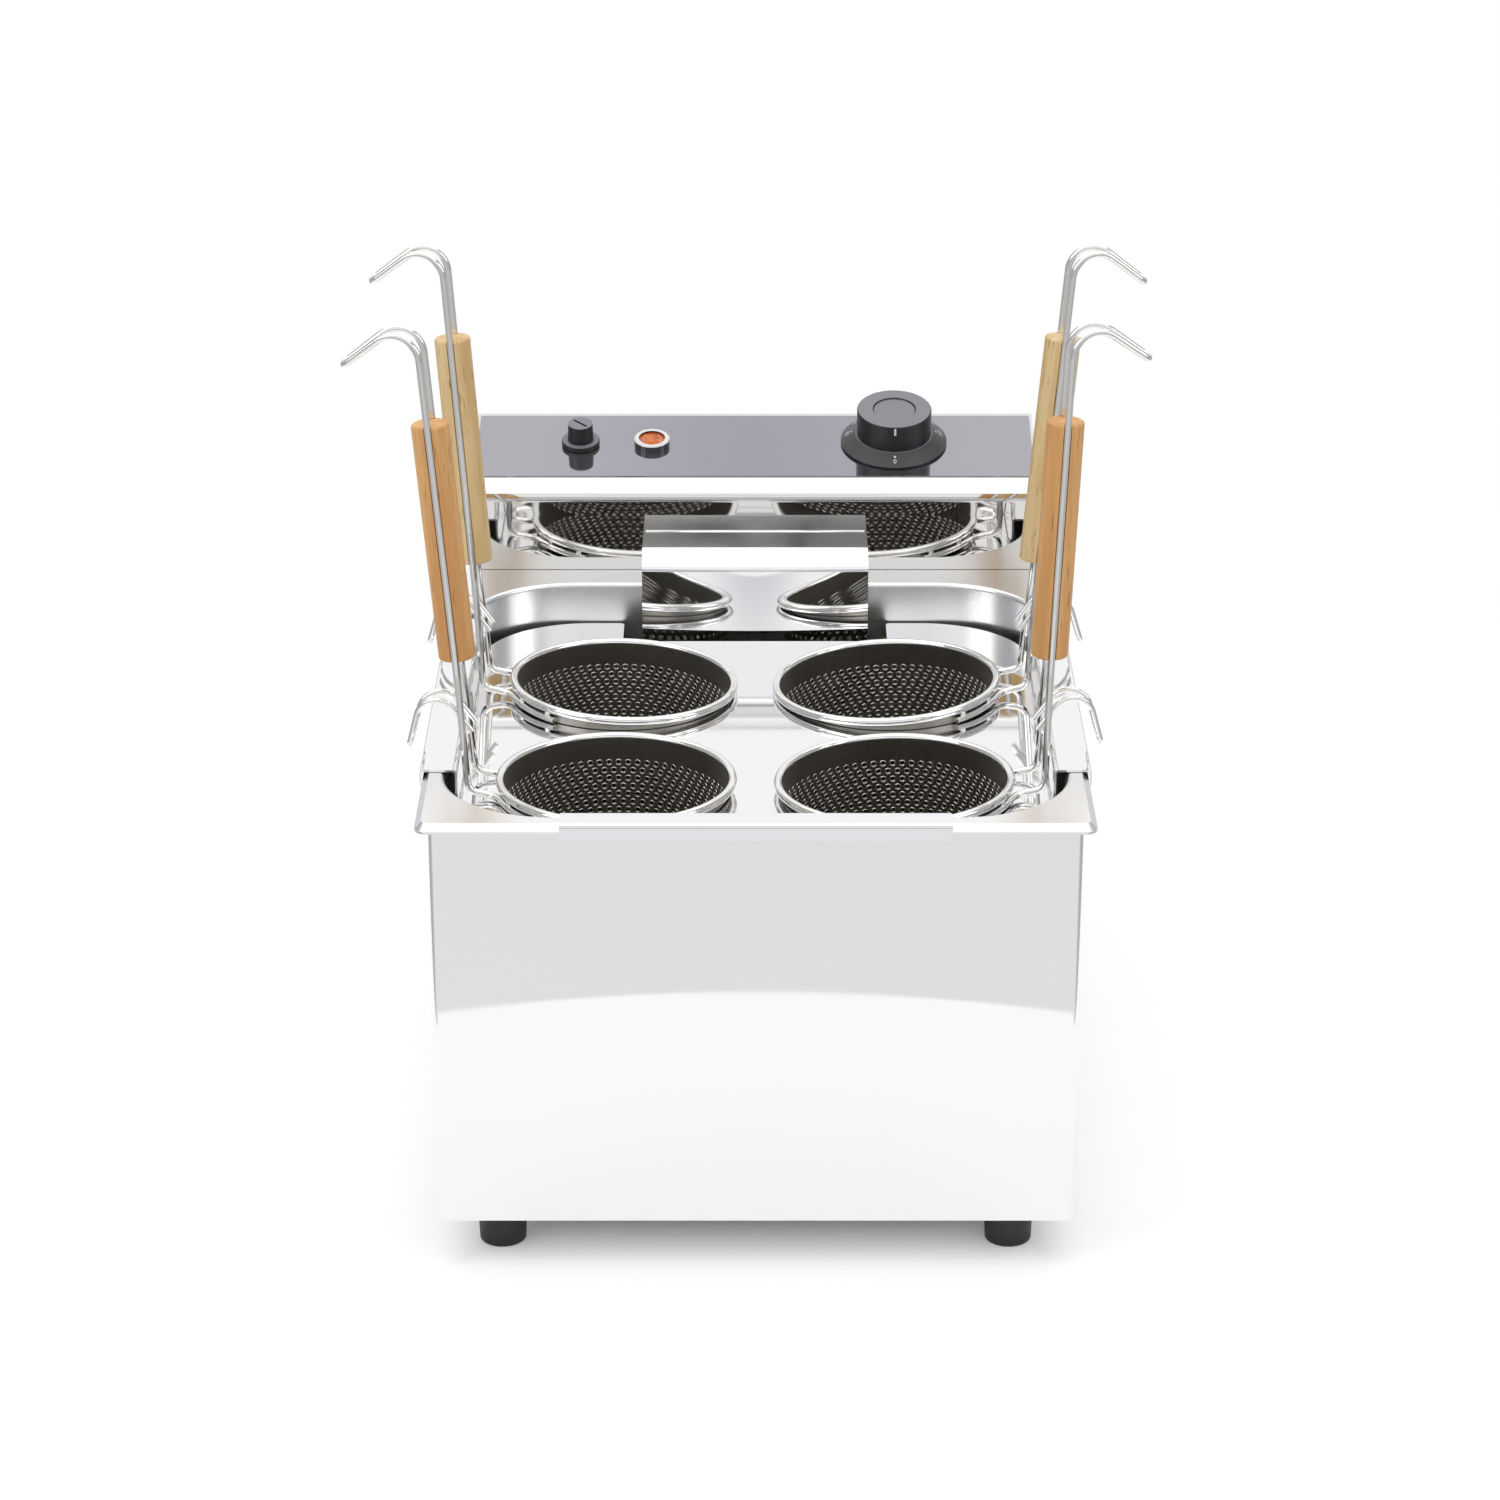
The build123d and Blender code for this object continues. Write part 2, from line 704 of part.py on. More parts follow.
def handle_path(plane):
    """Path of one handle: round the cup, out, up both legs and over into the end hook."""
    leave = wrap_point(wrap_leave_angle)
    run = (leave.Y - leg_half_gap) / math.cos(math.radians(wrap_leave_angle))
    turn_in = Vector(
        leave.X + run * math.sin(math.radians(wrap_leave_angle)), leg_half_gap, wire_height
    )
    pinch = grip_height_on_leg - leg_pinch_before_grip
    arc_start = grip_height_on_leg + grip_length + hook_rise
    corner = arc_start + hook_bend * math.tan(math.radians((90 + hook_slope) / 2))
    end = corner - hook_reach * math.tan(math.radians(hook_slope))
    half = [
        leave,
        turn_in,
        plane.from_local_coords(Vector(0, leg_half_gap, 0)),
        plane.from_local_coords(Vector(0, grip_wire_offset, pinch)),
        plane.from_local_coords(Vector(0, grip_wire_offset, corner)),
        plane.from_local_coords(Vector(hook_reach, hook_end_half_gap, end)),
    ]
    other = [Vector(point.X, -point.Y, point.Z) for point in reversed(half)]
    bends = [leg_side_bend, leg_up_bend, leg_pinch_bend, hook_bend, hook_end_bend]
    loop = FilletPolyline(*half, *other, radius=bends + bends[::-1])
    start_wrap = ThreePointArc(
        wrap_point(wrap_angle), wrap_point((wrap_angle + wrap_leave_angle) / 2), leave
    )
    end_wrap = ThreePointArc(
        other[-1], wrap_point(-(wrap_angle + wrap_leave_angle) / 2), wrap_point(-wrap_angle)
    )
    return Wire([*start_wrap.edges(), *loop.edges(), *end_wrap.edges()])


def handle_wire(plane):
    """One bent wire with both legs and the end hook, and its weld pads under the bead."""
    handle = tube(handle_path(plane), wire_radius)
    pad_height = bead_to_wire - bead_radius - weld_gap
    pad = extrude(Circle(weld_pad_radius), pad_height)
    for angle in (wrap_angle - weld_pad_inset_angle, wrap_leave_angle):
        for side in (-1, 1):
            spot = wrap_point(side * angle)
            handle += Pos(spot.X, spot.Y, spot.Z) * pad
    return handle


def grip(plane):
    """Round wooden grip with a slot front and back that takes the legs."""
    body = Pos(0, 0, grip_height_on_leg) * extrude(Circle(grip_radius), grip_length)
    body = fillet(body.edges().group_by(Axis.Z)[0] + body.edges().group_by(Axis.Z)[-1], grip_edge_radius)
    slot_width = 2 * (wire_radius + grip_slot_gap)
    slot_floor = grip_wire_offset - slot_width / 2
    for side in (-1, 1):
        slot = Box(slot_width, grip_radius, 3 * grip_length)
        body -= Pos(0, side * (slot_floor + grip_radius / 2), grip_height_on_leg) * slot
    return Location(plane) * body


def hanging_hook():
    """Hairpin of thinner wire, welded between the legs, that reaches over the rack's side."""
    crossing = rim_top + hang_tail_height - leg_foot_height
    half_gap = leg_half_gap_at(crossing + hang_bend) - wire_radius - hang_wire_radius - weld_gap
    half = [
        Vector(cup_radius + hang_tail_stand_off, half_gap, rim_top + hang_tail_height),
        Vector(cup_radius + hang_corner_stand_off, half_gap, rim_top + hang_corner_height),
        Vector(cup_radius + hang_end_stand_off, hang_end_half_gap, rim_top + hang_end_height),
    ]
    other = [Vector(point.X, -point.Y, point.Z) for point in reversed(half)]
    bends = [hang_bend, hang_end_bend]
    path = FilletPolyline(*half, *other, radius=bends + bends[::-1])
    return tube(Wire(path.edges()), hang_wire_radius)


# Control head
def head_profile():
    """Side outline of the head: front, chamfer, sloped top, back and the box behind the casing."""
    front = casing_back
    low = rim_top + seat_gap
    high = rim_top + head_front_height
    return [
        (front, low),
        (front, high),
        (front + head_chamfer, high + head_chamfer),
        (shell_back, high + head_chamfer + slope_climb),
        (shell_back, box_bottom),
        (box_front, box_bottom),
        (box_front, low),
    ]


def shaft_hole(diameter):
    """Cutter for a round hole through the sloped top."""
    return Cylinder(diameter / 2, 2 * overrun)


def control_holes():
    """Cutters of the control holes, shared by the head's top and the fascia."""
    bushing = shaft_hole(bushing_diameter + 2 * bushing_hole_gap)
    lamp = shaft_hole(lamp_body_diameter + 2 * lamp_hole_gap)
    return [
        on_panel(knob_side_offset, knob_up_slope) * bushing,
        on_panel(power_side_offset, power_up_slope) * bushing,
        on_panel(lamp_side_offset, lamp_up_slope) * lamp,
    ]


def element_leg_sides():
    """Sideways places of all element legs."""
    return [side * hood_width * share for share in element_leg_shares.values() for side in (-1, 1)]


def element_wall_holes():
    """Cutters for the element legs and the capillary where they enter the head."""
    leg = Rot(90, 0, 0) * Cylinder(element_diameter / 2 + element_hole_gap, 4 * overrun)
    capillary = Rot(90, 0, 0) * Cylinder(capillary_diameter / 2 + element_hole_gap, 4 * overrun)
    holes = [Pos(x, casing_back, element_cross) * leg for x in element_leg_sides()]
    holes.append(Pos(capillary_side_offset, casing_back, element_cross) * capillary)
    return holes


def cover_screw_places():
    """Places of the back cover's screws, on the lip round the head's open back."""
    x = head_width / 2 - head_back_lip / 2
    low = box_bottom + head_back_lip / 2
    high = rim_top + head_front_height + head_chamfer + slope_climb - head_back_lip / 2
    return [(side * x, z) for side in (-1, 0, 1) for z in (low, high)]


def head_shell():
    """Folded head with closed ends, open at the back inside a lip."""
    points = head_profile()
    shell = side_profile(points, head_width)
    bends = [
        edge for edge in shell.edges().filter_by(Axis.X)
        if abs(edge.center().Y - shell_back) > seat_gap and abs(edge.center().Z - points[0][1]) > seat_gap
    ]
    shell = fillet(bends, head_bend_radius)
    face = make_face(Polyline(*[(0, y, z) for y, z in points], close=True))
    inner = offset(face, -head_sheet)
    shell -= extrude(inner, head_width / 2 - head_sheet, dir=(1, 0, 0), both=True)
    low = box_bottom + head_back_lip
    high = points[3][1] - head_back_lip
    back_opening = Box(head_width - 2 * head_back_lip, 2 * overrun, high - low)
    shell -= Pos(0, shell_back, (low + high) / 2) * back_opening
    for cutter in control_holes() + element_wall_holes():
        shell -= cutter
    shell -= Pos(gland_side_offset, gland_y(), box_bottom) * Cylinder(
        gland_thread_diameter / 2 + screw_hole_gap, 2 * overrun
    )
    screw_hole = Rot(90, 0, 0) * Cylinder(cover_screw_diameter / 2 + screw_hole_gap, overrun)
    for x, z in cover_screw_places():
        shell -= Pos(x, shell_back, z) * screw_hole
    return shell


def head_back_cover():
    """Flat cover on the head's back lip, with two banks of vent slots."""
    low = box_bottom + back_cover_inset
    high = rim_top + head_front_height + head_chamfer + slope_climb - back_cover_inset
    width = head_width - 2 * back_cover_inset
    plate = extrude(RectangleRounded(width, high - low, back_cover_inset), head_sheet)
    slot = extrude(SlotOverall(louvre_length, louvre_width), head_sheet)
    middle = (high + low) / 2
    for bank in (-1, 1):
        for row in range(louvre_rows):
            drop = (row - (louvre_rows - 1) / 2) * louvre_pitch + louvre_top_drop
            plate -= Pos(bank * louvre_bank_offset, -drop, 0) * slot
    for x, z in cover_screw_places():
        plate -= Pos(x, z - middle, 0) * extrude(
            Circle(cover_screw_diameter / 2 + screw_hole_gap), head_sheet
        )
    return Pos(0, shell_back + head_sheet, middle) * Rot(90, 0, 0) * plate


def head_back_screw():
    """Screw of the back cover, its head outside along +Z."""
    head = extrude(Circle(cover_screw_head_diameter / 2), cover_screw_head_height)
    head = fillet(head.edges().group_by(Axis.Z)[-1], cover_screw_head_height / 3)
    shank = Pos(0, 0, -cover_screw_length) * extrude(Circle(cover_screw_diameter / 2), cover_screw_length)
    return Rot(-90, 0, 0) * (head + shank)


def control_panel():
    """Thin glossy fascia on the sloped top."""
    outline = RectangleRounded(panel_width, panel_length, panel_corner_radius)
    plate = on_panel(0, panel_front_margin + panel_length / 2) * extrude(outline, panel_sheet)
    for cutter in control_holes():
        plate -= cutter
    return plate


def element_hood():
    """Folded cover that takes the element legs from the head over the flange into the tank."""
    back = casing_back - weld_gap
    low = rim_top + seat_gap
    top = rim_top + hood_height
    front = casing_back - hood_front_depth
    bottom = rim_top - hood_skirt_drop
    inner_back = tank_back - hood_tank_gap
    points = [
        (back, low),
        (back, top),
        (casing_back - hood_top_depth, top),
        (front, top - hood_facet_drop),
        (front, bottom),
        (inner_back, bottom),
        (inner_back, low),
    ]
    hood = side_profile(points, hood_width)
    bends = [
        edge for edge in hood.edges().filter_by(Axis.X)
        if edge.center().Z > low + seat_gap and edge.center().Y < back - seat_gap
    ]
    hood = fillet(bends, hood_bend_radius)
    face = make_face(Polyline(*[(0, y, z) for y, z in points], close=True))
    inner = offset(face, -hood_sheet)
    hood -= extrude(inner, hood_width / 2 - hood_sheet, dir=(1, 0, 0), both=True)
    inner_width = hood_width - 2 * hood_sheet
    hood -= Pos(0, back, (low + top) / 2) * Box(inner_width, 2 * overrun, top - low - 2 * hood_sheet)
    hood -= Pos(0, (front + inner_back) / 2, bottom) * Box(
        inner_width, inner_back - front - 2 * hood_sheet, 2 * overrun
    )
    return hood


def heating_element(name):
    """Tubular element: two legs over the flange and a loop near the tank's floor."""
    half_width, bend, pull_back = element_loops[name]
    leg = hood_width * element_leg_shares[name]
    front = casing_front + element_front_setback + pull_back
    half = [
        Vector(leg, casing_back + element_inside_head, element_cross),
        Vector(leg, element_leg_y, element_cross),
        Vector(leg, element_leg_y, element_height),
        Vector(half_width, element_leg_y - element_spread, element_height),
        Vector(half_width, front, element_height),
    ]
    other = [Vector(-point.X, point.Y, point.Z) for point in reversed(half)]
    bends = [element_cross_bend, element_leg_bend, bend / 2, bend]
    path = FilletPolyline(*half, *other, radius=bends + bends[::-1])
    return tube(Wire(path.edges()), element_diameter / 2)


def element_strap():
    """Flat bar that ties the loops together, lying on top of them."""
    half_width = outer_loop_half_width + element_diameter / 2
    z = element_height + element_diameter / 2 + weld_gap + strap_sheet / 2
    strap = Box(2 * half_width, strap_width, strap_sheet)
    return Pos(0, casing_front + strap_setback, z) * strap


def element_clamp_plate():
    """Plate that clamps the element legs to the inside of the head's front wall."""
    width = hood_width - 2 * hood_sheet
    plate = Pos(0, casing_back + head_sheet + clamp_plate_sheet / 2, element_cross) * Box(
        width, clamp_plate_sheet, clamp_plate_height
    )
    for cutter in element_wall_holes():
        plate -= cutter
    return plate


def thermostat_bulb():
    """Sensing bulb beside the inner loop, with rounded ends."""
    bulb = extrude(Circle(bulb_diameter / 2), bulb_length)
    bulb = fillet(bulb.edges(), bulb_diameter / 3)
    return Pos(bulb_side_offset, bulb_back - bulb_length, element_height) * Rot(-90, 0, 0) * bulb


def thermostat_capillary():
    """Thin tube from the bulb, over the elements and up through the hood into the head."""
    x = bulb_side_offset
    climb_start = bulb_back + capillary_run
    points = [
        Vector(x, bulb_back, element_height),
        Vector(x, climb_start, element_height),
        Vector(x, climb_start + capillary_climb_run, element_height + capillary_climb),
        Vector(capillary_side_offset, element_leg_y, element_height + capillary_climb),
        Vector(capillary_side_offset, element_leg_y, element_cross),
        Vector(capillary_side_offset, casing_back + element_inside_head, element_cross),
    ]
    path = FilletPolyline(*points, radius=capillary_bend)
    return tube(Wire(path.edges()), capillary_diameter / 2)


# Controls on the sloped top, built with the panel's steel surface at z = 0
def control_body(size, height):
    """Box under the steel with a threaded bushing that comes up through the panel."""
    body = Pos(0, 0, -head_sheet - height) * extrude(Rectangle(size, size), height)
    body = fillet(body.edges().filter_by(Axis.Z), body_edge_radius)
    body += Pos(0, 0, -head_sheet) * extrude(
        Circle(bushing_diameter / 2), head_sheet + panel_sheet + bushing_stand
    )
    bore_bottom = -head_sheet - shaft_in_body
    return body - Pos(0, 0, bore_bottom) * extrude(
        Circle(shaft_diameter / 2 + shaft_running_gap), shaft_in_body + overrun * 2
    )


def control_shaft(knob_base):
    """Round shaft from the body up into the knob's hub."""
    bottom = -head_sheet - shaft_in_body + shaft_running_gap
    top = knob_base + shaft_in_knob
    return Pos(0, 0, bottom) * extrude(Circle(shaft_diameter / 2), top - bottom)


def knob_base():
    """Height of a knob's underside over the steel."""
    return panel_sheet + knob_panel_gap


def knob_bore():
    """Cutter for the shaft's bore in a knob, from its underside."""
    return extrude(Circle(shaft_diameter / 2 + shaft_fit_gap), shaft_in_knob + shaft_fit_gap)


def temperature_knob():
    """Moulded knob: a conical dial skirt, a round cap, a hollow underside and a shaft hub."""
    skirt = knob_skirt_diameter / 2
    cap = knob_cap_diameter / 2
    groove = knob_groove_diameter / 2
    outline = Polyline(
        (0, 0), (skirt, 0), (skirt, knob_skirt_edge), (groove, knob_skirt_height),
        (cap, knob_skirt_height), (cap, knob_height), (0, knob_height), close=True,
    )
    knob = revolve(Plane.XZ * make_face(outline), Axis.Z)
    top_edge = knob.edges().group_by(Axis.Z)[-1]
    knob = fillet(top_edge, knob_cap_edge_radius)
    dish = Cone(knob_dish_diameter / 2 - knob_dish_depth, knob_dish_diameter / 2, knob_dish_depth)
    knob -= Pos(0, 0, knob_height - knob_dish_depth / 2) * dish
    hollow = Polyline(
        (0, 0), (skirt - knob_wall, 0), (cap - knob_wall, knob_skirt_height - knob_wall),
        (cap - knob_wall, knob_height - 2 * knob_wall), (0, knob_height - 2 * knob_wall), close=True,
    )
    knob -= revolve(Plane.XZ * make_face(hollow), Axis.Z)
    hub_bottom = bushing_stand - knob_panel_gap + shaft_fit_gap * 4
    hub_length = knob_height - 2 * knob_wall - hub_bottom
    knob += Pos(0, 0, hub_bottom) * extrude(Circle(knob_hub_diameter / 2), hub_length)
    knob -= knob_bore()
    pointer = Box(knob_pointer_width, 2 * knob_pointer_depth, knob_pointer_length)
    return knob - Pos(0, -cap, knob_height - knob_pointer_length / 2) * pointer


def power_knob():
    """Small knob: a collar, a tapered cap and a slot that shows its direction."""
    knob = extrude(Circle(power_collar_diameter / 2), power_collar_height)
    knob = fillet(knob.edges().group_by(Axis.Z)[-1], power_collar_height / 4)
    cap = Pos(0, 0, power_collar_height + power_cap_height / 2) * Cone(
        power_cap_diameter / 2, power_cap_top_diameter / 2, power_cap_height
    )
    knob += cap
    height = power_collar_height + power_cap_height
    slot = Box(power_slot_width, power_slot_length, 2 * power_slot_depth)
    knob -= Pos(0, 0, height) * Rot(0, 0, power_slot_angle) * slot
    clear_bushing = extrude(
        Circle(bushing_diameter / 2 + bushing_hole_gap), bushing_stand - knob_panel_gap + bushing_hole_gap
    )
    return knob - clear_bushing - knob_bore()


def lamp_bezel():
    """Round lamp housing with a recess for its lens."""
    bezel = extrude(Circle(lamp_bezel_diameter / 2), lamp_bezel_height)
    bezel = chamfer(bezel.edges().group_by(Axis.Z)[-1], lamp_bezel_height / 8)
    recess = extrude(Circle(lamp_lens_diameter / 2 + lamp_hole_gap), lamp_seat_depth)
    bezel -= Pos(0, 0, lamp_bezel_height - lamp_seat_depth) * recess
    return Pos(0, 0, panel_sheet) * bezel


def lamp_lens():
    """Faceted lens: a flat table, sloped facets and a short girdle, seated in the bezel."""
    base = panel_sheet + lamp_bezel_height - lamp_seat_depth
    girdle_height = lamp_seat_depth - lamp_lens_crown
    girdle = Pos(0, 0, base) * extrude(Circle(lamp_lens_diameter / 2), girdle_height)
    low = Pos(0, 0, base + girdle_height) * RegularPolygon(
        lamp_lens_diameter / 2 - lamp_hole_gap, lamp_lens_sides
    )
    high = Pos(0, 0, base + lamp_seat_depth) * RegularPolygon(
        lamp_lens_table_diameter / 2, lamp_lens_sides
    )
    return girdle + loft([low.face(), high.face()])


def lamp_body():
    """Lamp's barrel through the panel and its lock nut under the steel."""
    barrel = Pos(0, 0, -lamp_body_length) * extrude(
        Circle(lamp_body_diameter / 2), lamp_body_length + panel_sheet
    )
    nut = Pos(0, 0, -head_sheet - gland_nut_height) * hexagon(
        lamp_body_diameter + gland_nut_height, gland_nut_height
    )
    return barrel + nut


# Parts inside and under the head
def safety_limiter():
    """Over-temperature cut-out on the inside of the head's front wall."""
    plate = Box(limiter_plate_width, limiter_plate_sheet, limiter_plate_height)
    can = Pos(0, (limiter_plate_sheet + limiter_length) / 2, 0) * Rot(90, 0, 0) * Cylinder(
        limiter_diameter / 2, limiter_length
    )
    y = casing_back + head_sheet + limiter_plate_sheet / 2
    return Pos(limiter_side_offset, y, rim_top + limiter_height_above_rim) * (plate + can)


def terminal_block():
    """Terminal block on the floor of the head's box."""
    block = Box(terminal_length, terminal_width, terminal_height)
    block = fillet(block.edges().filter_by(Axis.Z), body_edge_radius)
    pitch = terminal_length / (terminal_poles + 1)
    hole = Cylinder(terminal_hole_diameter / 2, 2 * terminal_hole_depth)
    for pole in range(terminal_poles):
        x = (pole - (terminal_poles - 1) / 2) * pitch
        block -= Pos(x, 0, terminal_height / 2) * hole
    z = box_bottom + head_sheet + terminal_height / 2
    return Pos(terminal_side_offset, gland_y(), z) * block


def gland_y():
    """Middle of the head's box from front to back."""
    return (box_front + shell_back) / 2


def cable_gland():
    """Gland through the floor of the head's box: flange, dome, thread and lock nut."""
    flange = Pos(0, 0, -gland_flange_height) * hexagon(gland_flange_diameter, gland_flange_height)
    dome = Pos(0, 0, -gland_flange_height - gland_dome_height) * extrude(
        Circle(gland_dome_diameter / 2), gland_dome_height
    )
    dome = fillet(dome.edges().group_by(Axis.Z)[0], gland_dome_height / 3)
    thread = extrude(Circle(gland_thread_diameter / 2), head_sheet + 2 * gland_nut_height)
    nut = Pos(0, 0, head_sheet) * hexagon(gland_nut_across_flats, gland_nut_height)
    gland = flange + dome + thread + nut
    gland -= Cylinder(gland_bore_diameter / 2, 4 * (gland_flange_height + gland_dome_height))
    return Pos(gland_side_offset, gland_y(), box_bottom) * gland


def group(pieces):
    """Separate solids that share one node."""
    return Compound(children=pieces)


def all_nodes():
    """Every node of the cooker by name."""
    nodes = {
        "casing_shell": casing_shell(),
        "base_plate": base_plate(),
        "base_plate_screws": group([Pos(x, y, 0) * base_plate_screw() for x, y in base_screw_places()]),
        "foot_screws": group([Pos(x, y, 0) * foot_screw() for x, y in corner_places(foot_inset)]),
        "foot_nuts": group([Pos(x, y, 0) * foot_nut() for x, y in corner_places(foot_inset)]),
        "head_rail": head_rail(),
        "head_rail_screws": group([
            Pos(x, casing_back + rail_sheet, rail_screw_height()) * head_rail_screw()
            for x in rail_screw_sides()
        ]),
        "tank_pan": tank_pan(),
        "basket_rack": basket_rack(),
        "head_shell": head_shell(),
        "head_back_cover": head_back_cover(),
        "head_back_screws": group([
            Pos(x, shell_back + head_sheet, z) * head_back_screw() for x, z in cover_screw_places()
        ]),
        "control_panel": control_panel(),
        "element_hood": element_hood(),
        "element_strap": element_strap(),
        "element_clamp_plate": element_clamp_plate(),
        "thermostat_bulb": thermostat_bulb(),
        "thermostat_capillary": thermostat_capillary(),
        "thermostat_body": on_panel(knob_side_offset, knob_up_slope)
        * control_body(thermostat_size, thermostat_height),
        "selector_switch_body": on_panel(power_side_offset, power_up_slope)
        * control_body(switch_size, switch_height),
        "thermostat_shaft": on_panel(knob_side_offset, knob_up_slope) * control_shaft(knob_base()),
        "selector_shaft": on_panel(power_side_offset, power_up_slope) * control_shaft(knob_base()),
        "temperature_knob": on_panel(knob_side_offset, knob_up_slope, knob_base()) * temperature_knob(),
        "power_knob": on_panel(power_side_offset, power_up_slope, knob_base()) * power_knob(),
        "lamp_bezel": on_panel(lamp_side_offset, lamp_up_slope) * lamp_bezel(),
        "lamp_lens": on_panel(lamp_side_offset, lamp_up_slope) * lamp_lens(),
        "lamp_body": on_panel(lamp_side_offset, lamp_up_slope) * lamp_body(),
        "safety_limiter": safety_limiter(),
        "terminal_block": terminal_block(),
        "cable_gland": cable_gland(),
    }
    for place, (x, y) in zip(("front_left", "front_right", "rear_left", "rear_right"),
                             corner_places(foot_inset)):
        nodes[f"{place}_foot"] = Pos(x, y, 0) * foot()
    for name in element_loops:
        nodes[f"{name}_heating_element"] = heating_element(name)
    for name in basket_names:
        plane = leg_plane(handle_lean_angles[name], basket_tilt_angles[name])
        nodes[f"{name}_cup"] = place_basket(name, basket_cup())
        nodes[f"{name}_handle_wire"] = place_basket(name, handle_wire(plane))
        nodes[f"{name}_grip"] = place_basket(name, grip(plane))
        nodes[f"{name}_hanging_hook"] = place_basket(name, hanging_hook())
    return nodes


os.makedirs("parts", exist_ok=True)
for node_name, solid in all_nodes().items():
    export_step(solid, f"parts/{node_name}.step")
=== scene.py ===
import logging
import math
from dataclasses import dataclass
from enum import Enum
from typing import Any, Callable, Iterable, Sequence

import bmesh
import bpy
from mathutils import Matrix, Vector


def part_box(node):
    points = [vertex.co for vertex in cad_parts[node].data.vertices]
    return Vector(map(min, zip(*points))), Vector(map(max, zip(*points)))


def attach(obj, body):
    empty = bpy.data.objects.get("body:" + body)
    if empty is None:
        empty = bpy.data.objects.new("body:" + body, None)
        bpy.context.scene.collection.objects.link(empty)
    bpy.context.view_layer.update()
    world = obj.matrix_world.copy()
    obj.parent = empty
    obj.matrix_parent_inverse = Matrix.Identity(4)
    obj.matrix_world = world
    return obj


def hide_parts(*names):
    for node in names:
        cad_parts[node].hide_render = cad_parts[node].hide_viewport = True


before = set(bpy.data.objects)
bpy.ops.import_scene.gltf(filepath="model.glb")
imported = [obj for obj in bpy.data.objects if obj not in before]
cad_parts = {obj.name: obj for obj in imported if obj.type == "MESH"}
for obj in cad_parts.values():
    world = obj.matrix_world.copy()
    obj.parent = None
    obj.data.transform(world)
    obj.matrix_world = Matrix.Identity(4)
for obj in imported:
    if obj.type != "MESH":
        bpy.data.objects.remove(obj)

MM = 0.001
LOG = logging.getLogger("pasta_cooker")
Color = tuple[float, float, float]
Span = tuple[float, float]
Ramp = tuple[float, float, float, float]


class Body(Enum):
    """Bodies that carry the head's added pieces."""

    HEAD = "head"
    TEMPERATURE = "temperature_control"


class Axis(Enum):
    """Direction of a sheet's mill grain or brushing."""

    X = 0
    Y = 1
    Z = 2


